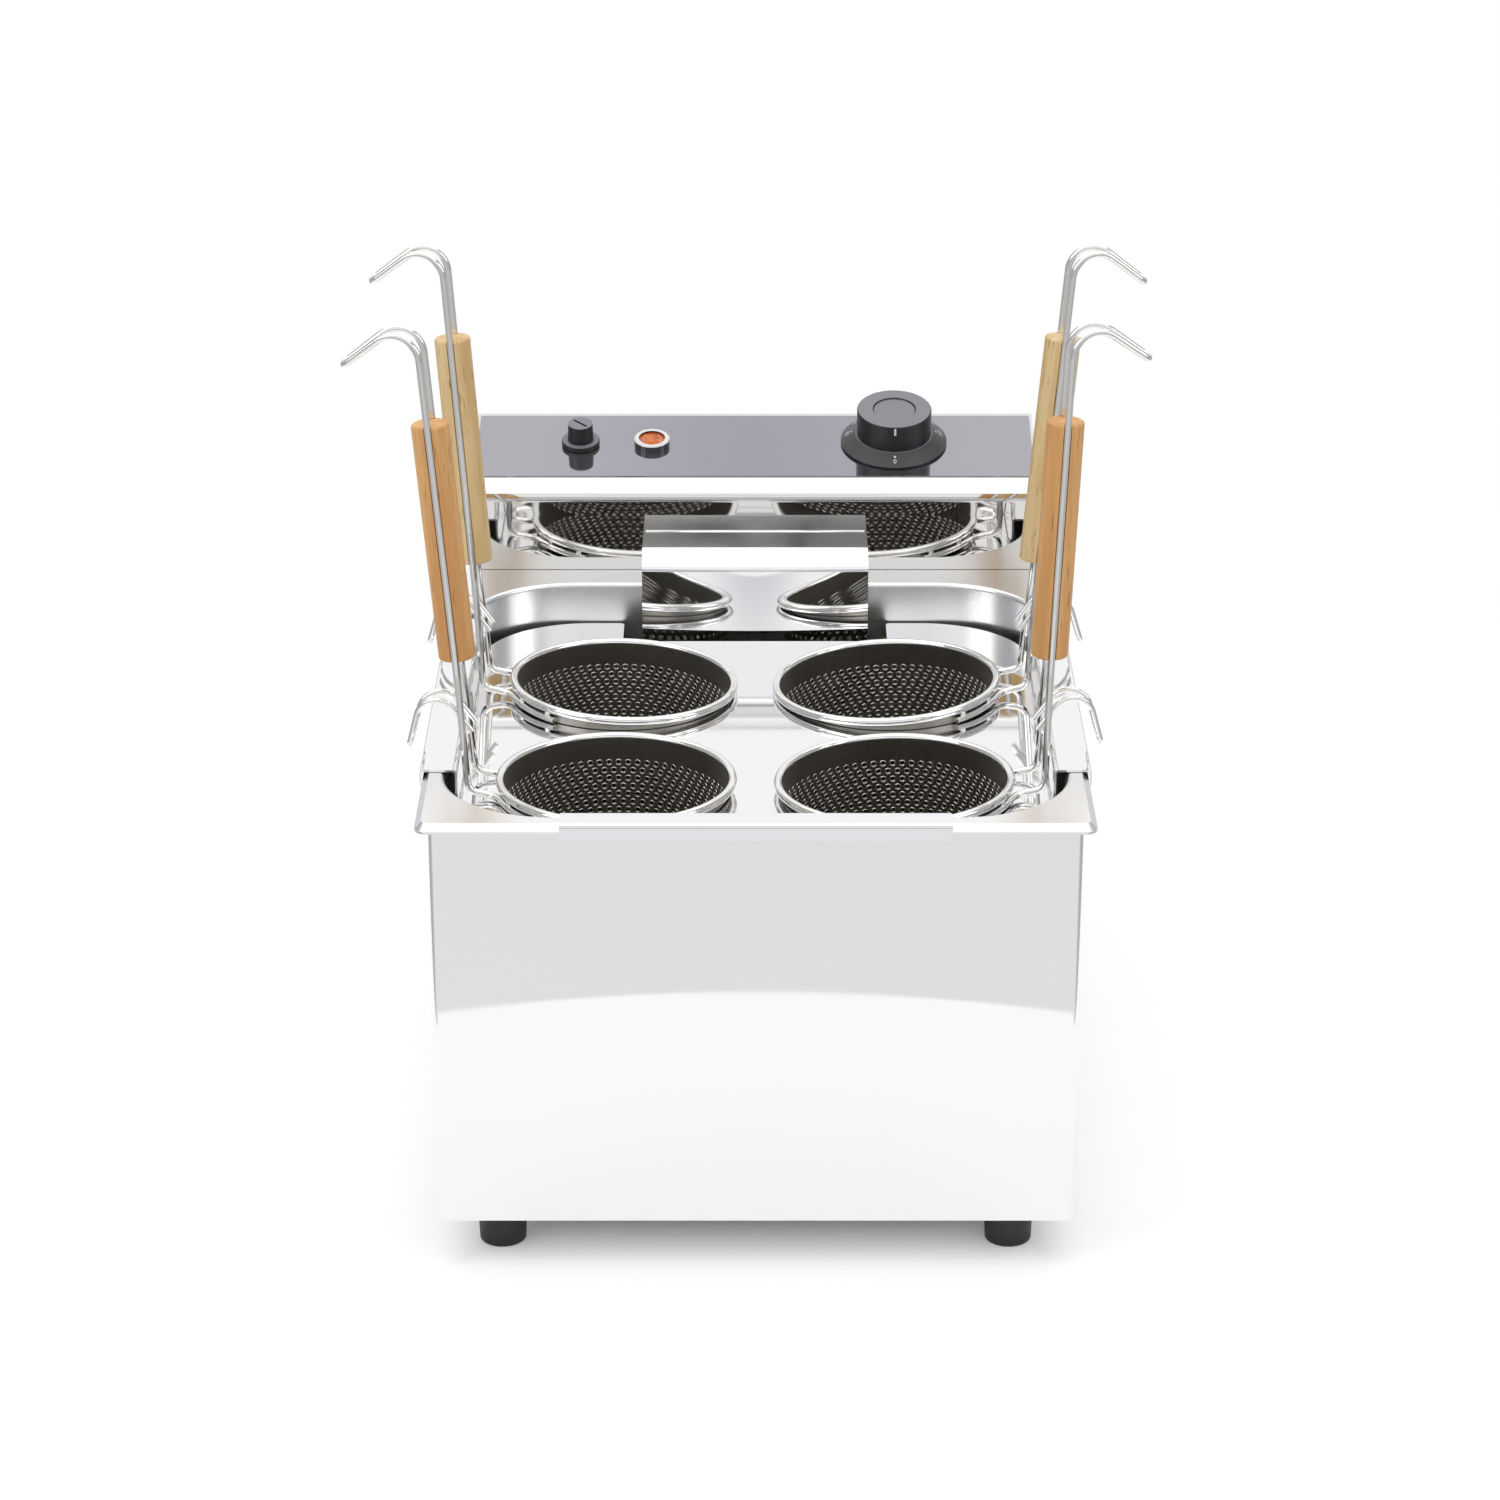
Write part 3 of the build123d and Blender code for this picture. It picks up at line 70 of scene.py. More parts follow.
class Graph:
    """Adds and links the nodes of one shader tree."""

    def __init__(self, tree: bpy.types.NodeTree) -> None:
        """Keep the tree that the nodes go into.

        Args:
            tree: The node tree of a material, world or group.
        """
        self.tree = tree
        self.column = 0

    def add(self, kind: str, values: dict[str, Any] | None = None, **settings: Any) -> bpy.types.Node:
        """Add one node.

        Args:
            kind: Blender's type name of the node.
            values: Plain values or output sockets by input name.
            settings: Properties of the node itself.

        Returns:
            The new node.
        """
        node = self.tree.nodes.new(kind)
        node.location = (180 * self.column, 0)
        self.column += 1
        for name, value in settings.items():
            setattr(node, name, value)
        for name, value in (values or {}).items():
            self.feed(value, node.inputs[name])
        return node

    def feed(self, value: Any, socket: bpy.types.NodeSocket) -> None:
        """Link a socket to an input, or set the input's plain value.

        Args:
            value: An output socket, a number, a vector or a colour.
            socket: The input that takes it.
        """
        if isinstance(value, bpy.types.NodeSocket):
            self.tree.links.new(value, socket)
        elif isinstance(value, tuple) and len(value) == 3 and socket.type == "RGBA":
            socket.default_value = (*value, 1.0)
        else:
            socket.default_value = value

    def math(self, operation: str, first: Any, second: Any = 0.0) -> bpy.types.NodeSocket:
        """Add a math node.

        Args:
            operation: Blender's name of the operation.
            first: First value or socket.
            second: Second value or socket.

        Returns:
            The node's output.
        """
        node = self.add("ShaderNodeMath", operation=operation)
        self.feed(first, node.inputs[0])
        self.feed(second, node.inputs[1])
        return node.outputs[0]

    def ramp(self, value: Any, low: float, high: float, to_low: float,
             to_high: float) -> bpy.types.NodeSocket:
        """Map a value from one range smoothly into another.

        Args:
            value: The value's socket.
            low: Start of the range that is read.
            high: End of the range that is read.
            to_low: Result at the start.
            to_high: Result at the end.

        Returns:
            The mapped value.
        """
        node = self.add("ShaderNodeMapRange", interpolation_type="SMOOTHSTEP")
        for index, item in enumerate((value, low, high, to_low, to_high)):
            self.feed(item, node.inputs[index])
        return node.outputs[0]

    def blend(self, factor: Any, first: Any, second: Any) -> bpy.types.NodeSocket:
        """Mix two colours.

        Args:
            factor: Share of the second colour.
            first: First colour or socket.
            second: Second colour or socket.

        Returns:
            The mixed colour.
        """
        node = self.add("ShaderNodeMix", data_type="RGBA")
        self.feed(factor, node.inputs[0])
        self.feed(first, node.inputs[6])
        self.feed(second, node.inputs[7])
        return node.outputs[2]

    def facing(self, direction: Sequence[float], low: float, high: float) -> bpy.types.NodeSocket:
        """Mask of the faces that look one way.

        Args:
            direction: Unit vector in the object's own frame.
            low: Cosine at which the mask starts.
            high: Cosine at which it is full.

        Returns:
            The mask's socket.
        """
        normal = self.add("ShaderNodeTexCoord").outputs["Normal"]
        along = self.add("ShaderNodeVectorMath", operation="DOT_PRODUCT")
        self.feed(normal, along.inputs[0])
        self.feed(tuple(direction), along.inputs[1])
        return self.ramp(along.outputs["Value"], low, high, 0.0, 1.0)

    def place(self, scale: Sequence[float] | None = None) -> bpy.types.NodeSocket:
        """Object coordinates.

        Args:
            scale: Scale along each axis, or none for metres as they are.

        Returns:
            The vector's socket.
        """
        where = self.add("ShaderNodeTexCoord").outputs["Object"]
        if scale is None:
            return where
        return self.add("ShaderNodeMapping", {"Vector": where, "Scale": tuple(scale)}).outputs[0]

    def mix_shaders(self, factor: Any, first: bpy.types.Node, second: bpy.types.Node) -> bpy.types.Node:
        """Mix two shaders.

        Args:
            factor: Share of the second shader.
            first: Node of the first shader.
            second: Node of the second shader.

        Returns:
            The mixing node.
        """
        node = self.add("ShaderNodeMixShader")
        for index, value in enumerate((factor, first.outputs[0], second.outputs[0])):
            self.feed(value, node.inputs[index])
        return node


class GroupShop:
    """Node groups for the effects that several finishes share, each built once."""

    def __init__(self) -> None:
        """Build every shared group."""
        self.groups: dict[str, bpy.types.NodeTree] = {}
        self._make("mill_grain", {"Vector": "NodeSocketVector", "Scale": "NodeSocketFloat"},
                   {"Height": "NodeSocketFloat", "Streak": "NodeSocketFloat"}, self._mill_grain)
        self._make("soft_cloud", {"Vector": "NodeSocketVector", "Scale": "NodeSocketFloat",
                                  "Low": "NodeSocketFloat", "High": "NodeSocketFloat"},
                   {"Value": "NodeSocketFloat"}, self._soft_cloud)
        self._make("dust_specks", {"Vector": "NodeSocketVector", "Scale": "NodeSocketFloat",
                                   "Amount": "NodeSocketFloat"},
                   {"Mask": "NodeSocketFloat"}, self._dust_specks)
        self._make("wood_figure", {"Vector": "NodeSocketVector", "Light": "NodeSocketColor",
                                   "Dark": "NodeSocketColor", "Fleck": "NodeSocketColor"},
                   {"Color": "NodeSocketColor", "Height": "NodeSocketFloat"}, self._wood_figure)

    def _make(self, name: str, inputs: dict[str, str], outputs: dict[str, str],
              fill: Callable[[Graph, dict, dict], None]) -> None:
        """Build one group.

        Args:
            name: The group's name.
            inputs: Socket types by input name.
            outputs: Socket types by output name.
            fill: Method that adds the group's nodes.
        """
        tree = bpy.data.node_groups.new(name, "ShaderNodeTree")
        for label, kind in inputs.items():
            tree.interface.new_socket(name=label, in_out="INPUT", socket_type=kind)
        for label, kind in outputs.items():
            tree.interface.new_socket(name=label, in_out="OUTPUT", socket_type=kind)
        graph = Graph(tree)
        source = graph.add("NodeGroupInput").outputs
        target = graph.add("NodeGroupOutput").inputs
        fill(graph, source, target)
        self.groups[name] = tree

    def use(self, graph: Graph, name: str, values: dict[str, Any]) -> bpy.types.Node:
        """Place a group in a material.

        Args:
            graph: The material's graph.
            name: The group's name.
            values: Values or sockets by input name.

        Returns:
            The group node.
        """
        return graph.add("ShaderNodeGroup", values, node_tree=self.groups[name])

    @staticmethod
    def _mill_grain(graph: Graph, source: dict, target: dict) -> None:
        """Long fine streaks: the rolling or brushing marks of sheet metal.

        Args:
            graph: The group's graph.
            source: The group's inputs by name.
            target: The group's outputs by name.
        """
        noise = graph.add("ShaderNodeTexNoise", {"Vector": source["Vector"], "Scale": source["Scale"],
                                                 "Detail": 3.0, "Roughness": 0.6})
        graph.feed(noise.outputs[0], target["Height"])
        graph.feed(graph.ramp(noise.outputs[0], 0.35, 0.65, 0.0, 1.0), target["Streak"])

    @staticmethod
    def _soft_cloud(graph: Graph, source: dict, target: dict) -> None:
        """Slow variation between two values."""
        noise = graph.add("ShaderNodeTexNoise", {"Vector": source["Vector"], "Scale": source["Scale"],
                                                 "Detail": 2.0})
        graph.feed(graph.ramp(noise.outputs[0], 0.3, 0.7, source["Low"], source["High"]), target["Value"])

    @staticmethod
    def _dust_specks(graph: Graph, source: dict, target: dict) -> None:
        """Small scattered specks.

        Args:
            graph: The group's graph.
            source: The group's inputs by name.
            target: The group's outputs by name.
        """
        cells = graph.add("ShaderNodeTexVoronoi", {"Vector": source["Vector"], "Scale": source["Scale"]})
        speck = graph.ramp(cells.outputs["Distance"], 0.06, 0.12, 1.0, 0.0)
        graph.feed(graph.math("MULTIPLY", speck, source["Amount"]), target["Mask"])

    @staticmethod
    def _wood_figure(graph: Graph, source: dict, target: dict) -> None:
        """Straight hardwood grain along Z with short dark pores.

        Args:
            graph: The group's graph.
            source: The group's inputs by name.
            target: The group's outputs by name.
        """
        bands = graph.add("ShaderNodeMapping", {"Vector": source["Vector"], "Scale": (90.0, 90.0, 5.0)})
        grain = graph.add("ShaderNodeTexNoise", {"Vector": bands.outputs[0], "Scale": 1.0, "Detail": 4.0,
                                                 "Roughness": 0.62, "Distortion": 0.35})
        fine = graph.add("ShaderNodeMapping", {"Vector": source["Vector"], "Scale": (900.0, 900.0, 45.0)})
        pores = graph.add("ShaderNodeTexNoise", {"Vector": fine.outputs[0], "Scale": 1.0, "Detail": 2.0})
        fleck = graph.ramp(pores.outputs[0], 0.62, 0.72, 0.0, 0.75)
        figure = graph.ramp(grain.outputs[0], 0.34, 0.66, 0.0, 1.0)
        body = graph.blend(figure, source["Light"], source["Dark"])
        graph.feed(graph.blend(fleck, body, source["Fleck"]), target["Color"])
        graph.feed(graph.math("SUBTRACT", grain.outputs[0], fleck), target["Height"])


def shade(color: Color, share: float) -> Color:
    """Colour at a share of its brightness."""
    return tuple(share * part for part in color)


@dataclass
class Bench:
    """A new material on which a finish lays out its nodes.

    Attributes:
        graph: The material's graph.
        shader: Its Principled shader.
        shop: The shared node groups.
        where: Coordinates of the effects.
    """

    graph: Graph
    shader: bpy.types.Node
    shop: GroupShop
    where: bpy.types.NodeSocket

    def set(self, values: dict[str, Any]) -> None:
        """Give the shader its values.

        Args:
            values: Values or sockets by input name.
        """
        for name, value in values.items():
            self.graph.feed(value, self.shader.inputs[name])

    def cloud(self, scale: float, low: float, high: float) -> bpy.types.NodeSocket:
        """Slow variation between two values.

        Args:
            scale: Scale of the variation.
            low: Lowest value.
            high: Highest value.

        Returns:
            The value's socket.
        """
        values = {"Vector": self.where, "Scale": scale, "Low": low, "High": high}
        return self.shop.use(self.graph, "soft_cloud", values).outputs[0]

    def specks(self, scale: float, amount: float) -> bpy.types.NodeSocket:
        """Mask of small scattered specks.

        Args:
            scale: Scale of the pattern.
            amount: Strength of the specks.

        Returns:
            The mask's socket.
        """
        values = {"Vector": self.where, "Scale": scale, "Amount": amount}
        return self.shop.use(self.graph, "dust_specks", values).outputs[0]

    def dent(self, height: bpy.types.NodeSocket, distance: float) -> None:
        """Give the shader a bump.

        Args:
            height: Socket of the height.
            distance: Height of the relief in metres.
        """
        bump = self.graph.add("ShaderNodeBump", {"Height": height, "Distance": distance, "Strength": 1.0})
        self.set({"Normal": bump.outputs[0]})


class Finish:
    """Base of all finishes: makes one material with its own Principled shader."""

    name: str

    def build(self, shop: GroupShop) -> bpy.types.Material:
        """Make the material.

        Args:
            shop: The shared node groups.

        Returns:
            The finished material.
        """
        material = bpy.data.materials.new(self.name)
        material.use_nodes = True
        material.node_tree.nodes.clear()
        graph = Graph(material.node_tree)
        shader = graph.add("ShaderNodeBsdfPrincipled")
        graph.add("ShaderNodeOutputMaterial", {"Surface": shader.outputs[0]})
        self.lay(Bench(graph, shader, shop, graph.place()))
        return material

    def lay(self, bench: Bench) -> None:
        """Add the finish's own nodes.

        Args:
            bench: The new material.
        """
        raise NotImplementedError


@dataclass(frozen=True)
class FrontFold:
    """Slight lean of a folded sheet's front and the soft bend over it.

    Attributes:
        lean: Forward lean at the top, in degrees.
        foot: Height where the lean starts.
        rise: Height over which it grows to full, or zero for the same lean all the way.
        reach: Half width over which it fades out, or zero for the same lean all across.
        bend_foot: Height where the soft bend starts.
        bend_height: Height of the soft bend.
        bend_tilt: Backward tilt at the bend's top, in degrees.
        front: Cosines between which a face counts as the front.
    """

    lean: float
    foot: float
    rise: float
    reach: float
    bend_foot: float
    bend_height: float
    bend_tilt: float
    front: Span = (0.8, 0.9)

    def normal(self, graph: Graph, normal: bpy.types.NodeSocket) -> bpy.types.NodeSocket:
        """Lean the normals of the faces that look forward.

        Args:
            graph: The material's graph.
            normal: The normals of the flat sheet.

        Returns:
            The leaning normals.
        """
        values = {"Height": self.relief(graph), "Distance": MM, "Normal": normal}
        folded = graph.add("ShaderNodeBump", values)
        mixed = graph.add("ShaderNodeMix", data_type="VECTOR")
        graph.feed(graph.facing((0.0, -1.0, 0.0), *self.front), mixed.inputs[0])
        graph.feed(normal, mixed.inputs[4])
        graph.feed(folded.outputs[0], mixed.inputs[5])
        return mixed.outputs[1]

    def relief(self, graph: Graph) -> bpy.types.NodeSocket:
        """Height of the relief that looks like the fold.

        Args:
            graph: The material's graph.

        Returns:
            The relief's height in millimetres.
        """
        split = graph.add("ShaderNodeSeparateXYZ", {"Vector": graph.place()})
        rise = graph.math("SUBTRACT", split.outputs["Z"], self.foot)
        if self.rise:
            rise = self.growing(graph, rise, self.rise)
        lift = graph.math("MULTIPLY", rise, math.tan(math.radians(self.lean)) / MM)
        if self.reach:
            side = graph.math("DIVIDE", split.outputs["X"], self.reach)
            fading = graph.math("SUBTRACT", 1.0, graph.math("MULTIPLY", side, side))
            lift = graph.math("MULTIPLY", lift, fading)
        above = graph.math("SUBTRACT", split.outputs["Z"], self.bend_foot)
        bend = self.growing(graph, above, self.bend_height)
        drop = graph.math("MULTIPLY", bend, math.tan(math.radians(self.bend_tilt)) / MM)
        return graph.math("SUBTRACT", lift, drop)

    @staticmethod
    def growing(graph: Graph, rise: bpy.types.NodeSocket, height: float) -> bpy.types.NodeSocket:
        """Curve whose slope grows evenly from nothing to one.

        Args:
            graph: The material's graph.
            rise: Height over the curve's foot.
            height: Height at which the slope is one.

        Returns:
            The curve's socket.
        """
        above = graph.math("MAXIMUM", rise, 0.0)
        return graph.math("MULTIPLY", above, graph.math("DIVIDE", above, 2 * height))


@dataclass(frozen=True)
class SheetSteel(Finish):
    """Stainless sheet, from mirror-bright to satin.

    Attributes:
        name: Material name.
        color: Colour of the metal.
        rough: Lowest and highest roughness.
        grain: Direction of the rolling marks.
        grain_height: Depth of the rolling marks.
        bow: Depth of the slow waves of thin sheet.
        streak: How much darker the rolling marks are, as a share.
        fold: Lean and bend of the faces that look forward, or none.
        marks_across: Scale of the rolling marks across their direction.
        marks_along: Scale of the rolling marks along it.
    """

    name: str
    color: Color = (0.82, 0.82, 0.82)
    rough: Span = (0.05, 0.10)
    grain: Axis = Axis.X
    grain_height: float = 0.002 * MM
    bow: float = 0.03 * MM
    streak: float = 0.03
    fold: FrontFold | None = None
    marks_across: float = 1400.0
    marks_along: float = 14.0

    def lay(self, bench: Bench) -> None:
        """Add rolling marks, slow waves and the fold.

        Args:
            bench: The new material.
        """
        graph = bench.graph
        stretch = [self.marks_across] * 3
        stretch[self.grain.value] = self.marks_along
        grain = bench.shop.use(graph, "mill_grain", {"Vector": graph.place(stretch), "Scale": 1.0})
        waves = graph.add("ShaderNodeTexNoise", {"Vector": bench.where, "Scale": 3.2, "Detail": 1.0})
        marks = graph.math("MULTIPLY", grain.outputs["Height"], self.grain_height / MM)
        slow = graph.math("MULTIPLY", waves.outputs[0], self.bow / MM)
        bump = graph.add("ShaderNodeBump", {"Height": graph.math("ADD", marks, slow), "Distance": MM})
        normal = bump.outputs[0]
        if self.fold:
            normal = self.fold.normal(graph, normal)
        marked = shade(self.color, 1 - self.streak)
        bench.set({"Base Color": graph.blend(grain.outputs["Streak"], self.color, marked),
                   "Roughness": bench.cloud(9.0, *self.rough), "Metallic": 1.0, "Normal": normal})


@dataclass(frozen=True)
class RoundWire(Finish):
    """Bright drawn wire and beads.

    Attributes:
        name: Material name.
        color: Colour of the metal.
        rough: Lowest and highest roughness.
        wave: Depth of its slight unevenness, as a share of the noise's height.
    """

    name: str
    color: Color = (0.87, 0.86, 0.835)
    rough: Span = (0.10, 0.16)
    wave: float = 0.03 * MM

    def lay(self, bench: Bench) -> None:
        """Add slight unevenness and specks.

        Args:
            bench: The new material.
        """
        cloud = bench.cloud(60.0, *self.rough)
        specks = bench.specks(260.0, 0.2)
        bench.set({"Base Color": bench.graph.blend(specks, self.color, shade(self.color, 0.7)),
                   "Roughness": cloud, "Metallic": 1.0})
        bench.dent(cloud, self.wave)


@dataclass(frozen=True)
class GripWood(Finish):
    """Oiled hardwood of one grip, with its grain along the grip.

    Attributes:
        name: Material name.
        light: Colour of the pale grain.
        dark: Colour of the dark grain.
        fleck: Colour of the pores.
        turn: Rotation that brings the grip's axis to Z.
        offset: Shift along the grain, so that no two grips match.
    """

    name: str
    light: Color
    dark: Color
    fleck: Color
    turn: tuple[float, float, float]
    offset: float

    def lay(self, bench: Bench) -> None:
        """Add the grain, its relief and the sheen of the oil.

        Args:
            bench: The new material.
        """
        graph = bench.graph
        turned = graph.add("ShaderNodeMapping", {"Vector": bench.where, "Rotation": self.turn})
        shifted = graph.add("ShaderNodeMapping", {"Vector": turned.outputs[0],
                                                  "Location": (self.offset,) * 3})
        bench.where = shifted.outputs[0]
        figure = bench.shop.use(graph, "wood_figure", {"Vector": bench.where, "Light": self.light,
                                                       "Dark": self.dark, "Fleck": self.fleck})
        bench.set({"Base Color": figure.outputs["Color"], "Roughness": bench.cloud(40.0, 0.38, 0.52)})
        bench.dent(figure.outputs["Height"], 0.12 * MM)


@dataclass(frozen=True)
class Moulding(Finish):
    """Moulded plastic or rubber with a fine spark-eroded texture.

    Attributes:
        name: Material name.
        color: Colour of the plastic.
        rough: Lowest and highest roughness.
        texture: Depth of the moulded texture.
        texture_scale: Texture cells per metre.
        painted_highlight: Colour of the faces that look up along the axis, painted paler as a highlight of
            the light from above, or none.
        axis: The piece's axis.
        highlight_from: Cosines between which the painted highlight comes in.
        coat: Weight of the gloss coat.
        dust: How much paler the specks are.
    """

    name: str
    color: Color
    rough: Span = (0.38, 0.48)
    texture: float = 0.02 * MM
    texture_scale: float = 1600.0
    painted_highlight: Color | None = None
    axis: tuple[float, float, float] = (0.0, 0.0, 1.0)
    highlight_from: Span = (0.55, 0.98)
    coat: float = 0.0
    dust: float = 0.12

    def lay(self, bench: Bench) -> None:
        """Add the texture, specks and the painted highlight on the top faces.

        Args:
            bench: The new material.
        """
        graph = bench.graph
        pale = tuple(min(1.0, part + self.dust) for part in self.color)
        tint = graph.blend(bench.specks(420.0, 0.12), self.color, pale)
        # The faces that look up along the axis get a paler colour: a painted highlight of the light from
        # above.
        if self.painted_highlight:
            tint = graph.blend(graph.facing(self.axis, *self.highlight_from), tint, self.painted_highlight)
        bench.set({"Base Color": tint, "Roughness": bench.cloud(70.0, *self.rough),
                   "Coat Weight": self.coat})
        values = {"Vector": bench.where, "Scale": self.texture_scale, "Detail": 1.0}
        bench.dent(graph.add("ShaderNodeTexNoise", values).outputs[0], self.texture)


@dataclass(frozen=True)
class FasciaFilm(Finish):
    """Dark glossy film that mirrors what stands on it.

    Attributes:
        name: Material name.
        color: Colour of the film's mirror layer at its ends.
        middle: Its colour in the middle.
        dust: Colour of the specks.
        reach: Half width over which the colour changes.
    """

    name: str = "fascia_film"
    color: Color = (0.425, 0.415, 0.455)
    middle: Color = (0.35, 0.335, 0.38)
    dust: Color = (0.16, 0.15, 0.17)
    reach: float = 150.0 * MM

    def lay(self, bench: Bench) -> None:
        """Add the change of colour along the film, and specks.

        Args:
            bench: The new material.
        """
        graph = bench.graph
        split = graph.add("ShaderNodeSeparateXYZ", {"Vector": bench.where})
        side = graph.ramp(graph.math("ABSOLUTE", split.outputs["X"]), 0.0, self.reach, 0.0, 1.0)
        tint = graph.blend(side, self.middle, self.color)
        bench.set({"Base Color": graph.blend(bench.specks(180.0, 0.25), tint, self.dust),
                   "Roughness": bench.cloud(14.0, 0.05, 0.09), "Metallic": 0.9,
                   "Coat Weight": 0.15, "Coat Roughness": 0.03})


@dataclass(frozen=True)
class LensPlastic(Finish):
    """Orange transparent plastic of the lamp's lens.

    Attributes:
        name: Material name.
        color: Colour of the plastic.
        deep: Colour in its deeper parts.
    """

    name: str = "lens_plastic"
    color: Color = (0.86, 0.19, 0.004)
    deep: Color = (0.34, 0.035, 0.001)

    def lay(self, bench: Bench) -> None:
        """Add the cloudy colour and the faint glow.

        Args:
            bench: The new material.
        """
        tint = bench.graph.blend(bench.cloud(190.0, 0.0, 0.7), self.color, self.deep)
        bench.set({"Base Color": tint, "Emission Color": tint, "Emission Strength": 0.12,
                   "Roughness": 0.08, "Transmission Weight": 0.2, "Coat Weight": 0.25})


@dataclass(frozen=True)
class Ink(Finish):
    """Printed pale ink of the dial's marks.

    Attributes:
        name: Material name.
        color: Colour of the ink.
    """

    name: str = "dial_ink"
    color: Color = (0.93, 0.94, 0.95)

    def lay(self, bench: Bench) -> None:
        """Add the wear of the print.

        Args:
            bench: The new material.
        """
        wear = bench.cloud(900.0, 0.0, 0.4)
        bench.set({"Base Color": bench.graph.blend(wear, self.color, shade(self.color, 0.7)),
                   "Roughness": 0.5})


def dress(nodes: Iterable[str], material: bpy.types.Material) -> None:
    """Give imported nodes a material.

    Args:
        nodes: Names of the nodes.
        material: The material that replaces what they came with.
    """
    for name in nodes:
        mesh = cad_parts[name].data
        mesh.materials.clear()
        mesh.materials.append(material)
    LOG.info("dressed %s", material.name)


def bake(name: str, shape: bmesh.types.BMesh, *materials: bpy.types.Material) -> bpy.types.Mesh:
    """Turn a built shape into a mesh.

    Args:
        name: The mesh's name.
        shape: The shape, which is freed.
        materials: Its materials, in the order of their slots.

    Returns:
        The new mesh.
    """
    mesh = bpy.data.meshes.new(name)
    shape.to_mesh(mesh)
    shape.free()
    for material in materials:
        mesh.materials.append(material)
    return mesh


def add_piece(name: str, mesh: bpy.types.Mesh, body: str,
              where: Matrix | None = None) -> bpy.types.Object:
    """Place a mesh as a piece that rides on a body.

    Args:
        name: The piece's name.
        mesh: Its mesh, which pieces may share.
        body: The body that carries it.
        where: Its place, or none where the mesh is in the cooker's own frame.

    Returns:
        The new object.
    """
    piece = bpy.data.objects.new(name, mesh)
    bpy.context.scene.collection.objects.link(piece)
    if where is not None:
        piece.matrix_world = where
        bpy.context.view_layer.update()
    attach(piece, body)
    LOG.info("made %s with %d faces", name, len(mesh.polygons))
    return piece


@dataclass
class CookerFrame:
    """Places that several sub-assemblies share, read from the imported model.

    Attributes:
        rim_drop_to_plate: Depth of the rack's plate below the rim.
    """

    rim_drop_to_plate: float = 24.4 * MM

    def __post_init__(self) -> None:
        """Read the casing and tank from the frame."""
        low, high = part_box("casing_shell")
        self.casing_front = low[1]
        self.casing_back = high[1]
        self.casing_bottom = low[2]
        self.half_width = high[0]
        self.rim_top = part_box("tank_pan")[1][2]
        self.plate_top = self.rim_top - self.rim_drop_to_plate


@dataclass(frozen=True)
class BasketPose:
    """How one basket stands in its hole.

    Attributes:
        name: Prefix of the basket's nodes.
        side: -1 on the left and 1 on the right.
        row: 0 in front and 1 behind.
        lean: Outward lean of the handle in degrees.
        turn: Backward turn of the handle in degrees.
        tilt: Settling of the inner side in degrees.
    """

    name: str
    side: int
    row: int
    lean: float
    turn: float
    tilt: float

    @property
    def body(self) -> str:
        """Name of the basket's body."""
        return f"{self.name}_basket"


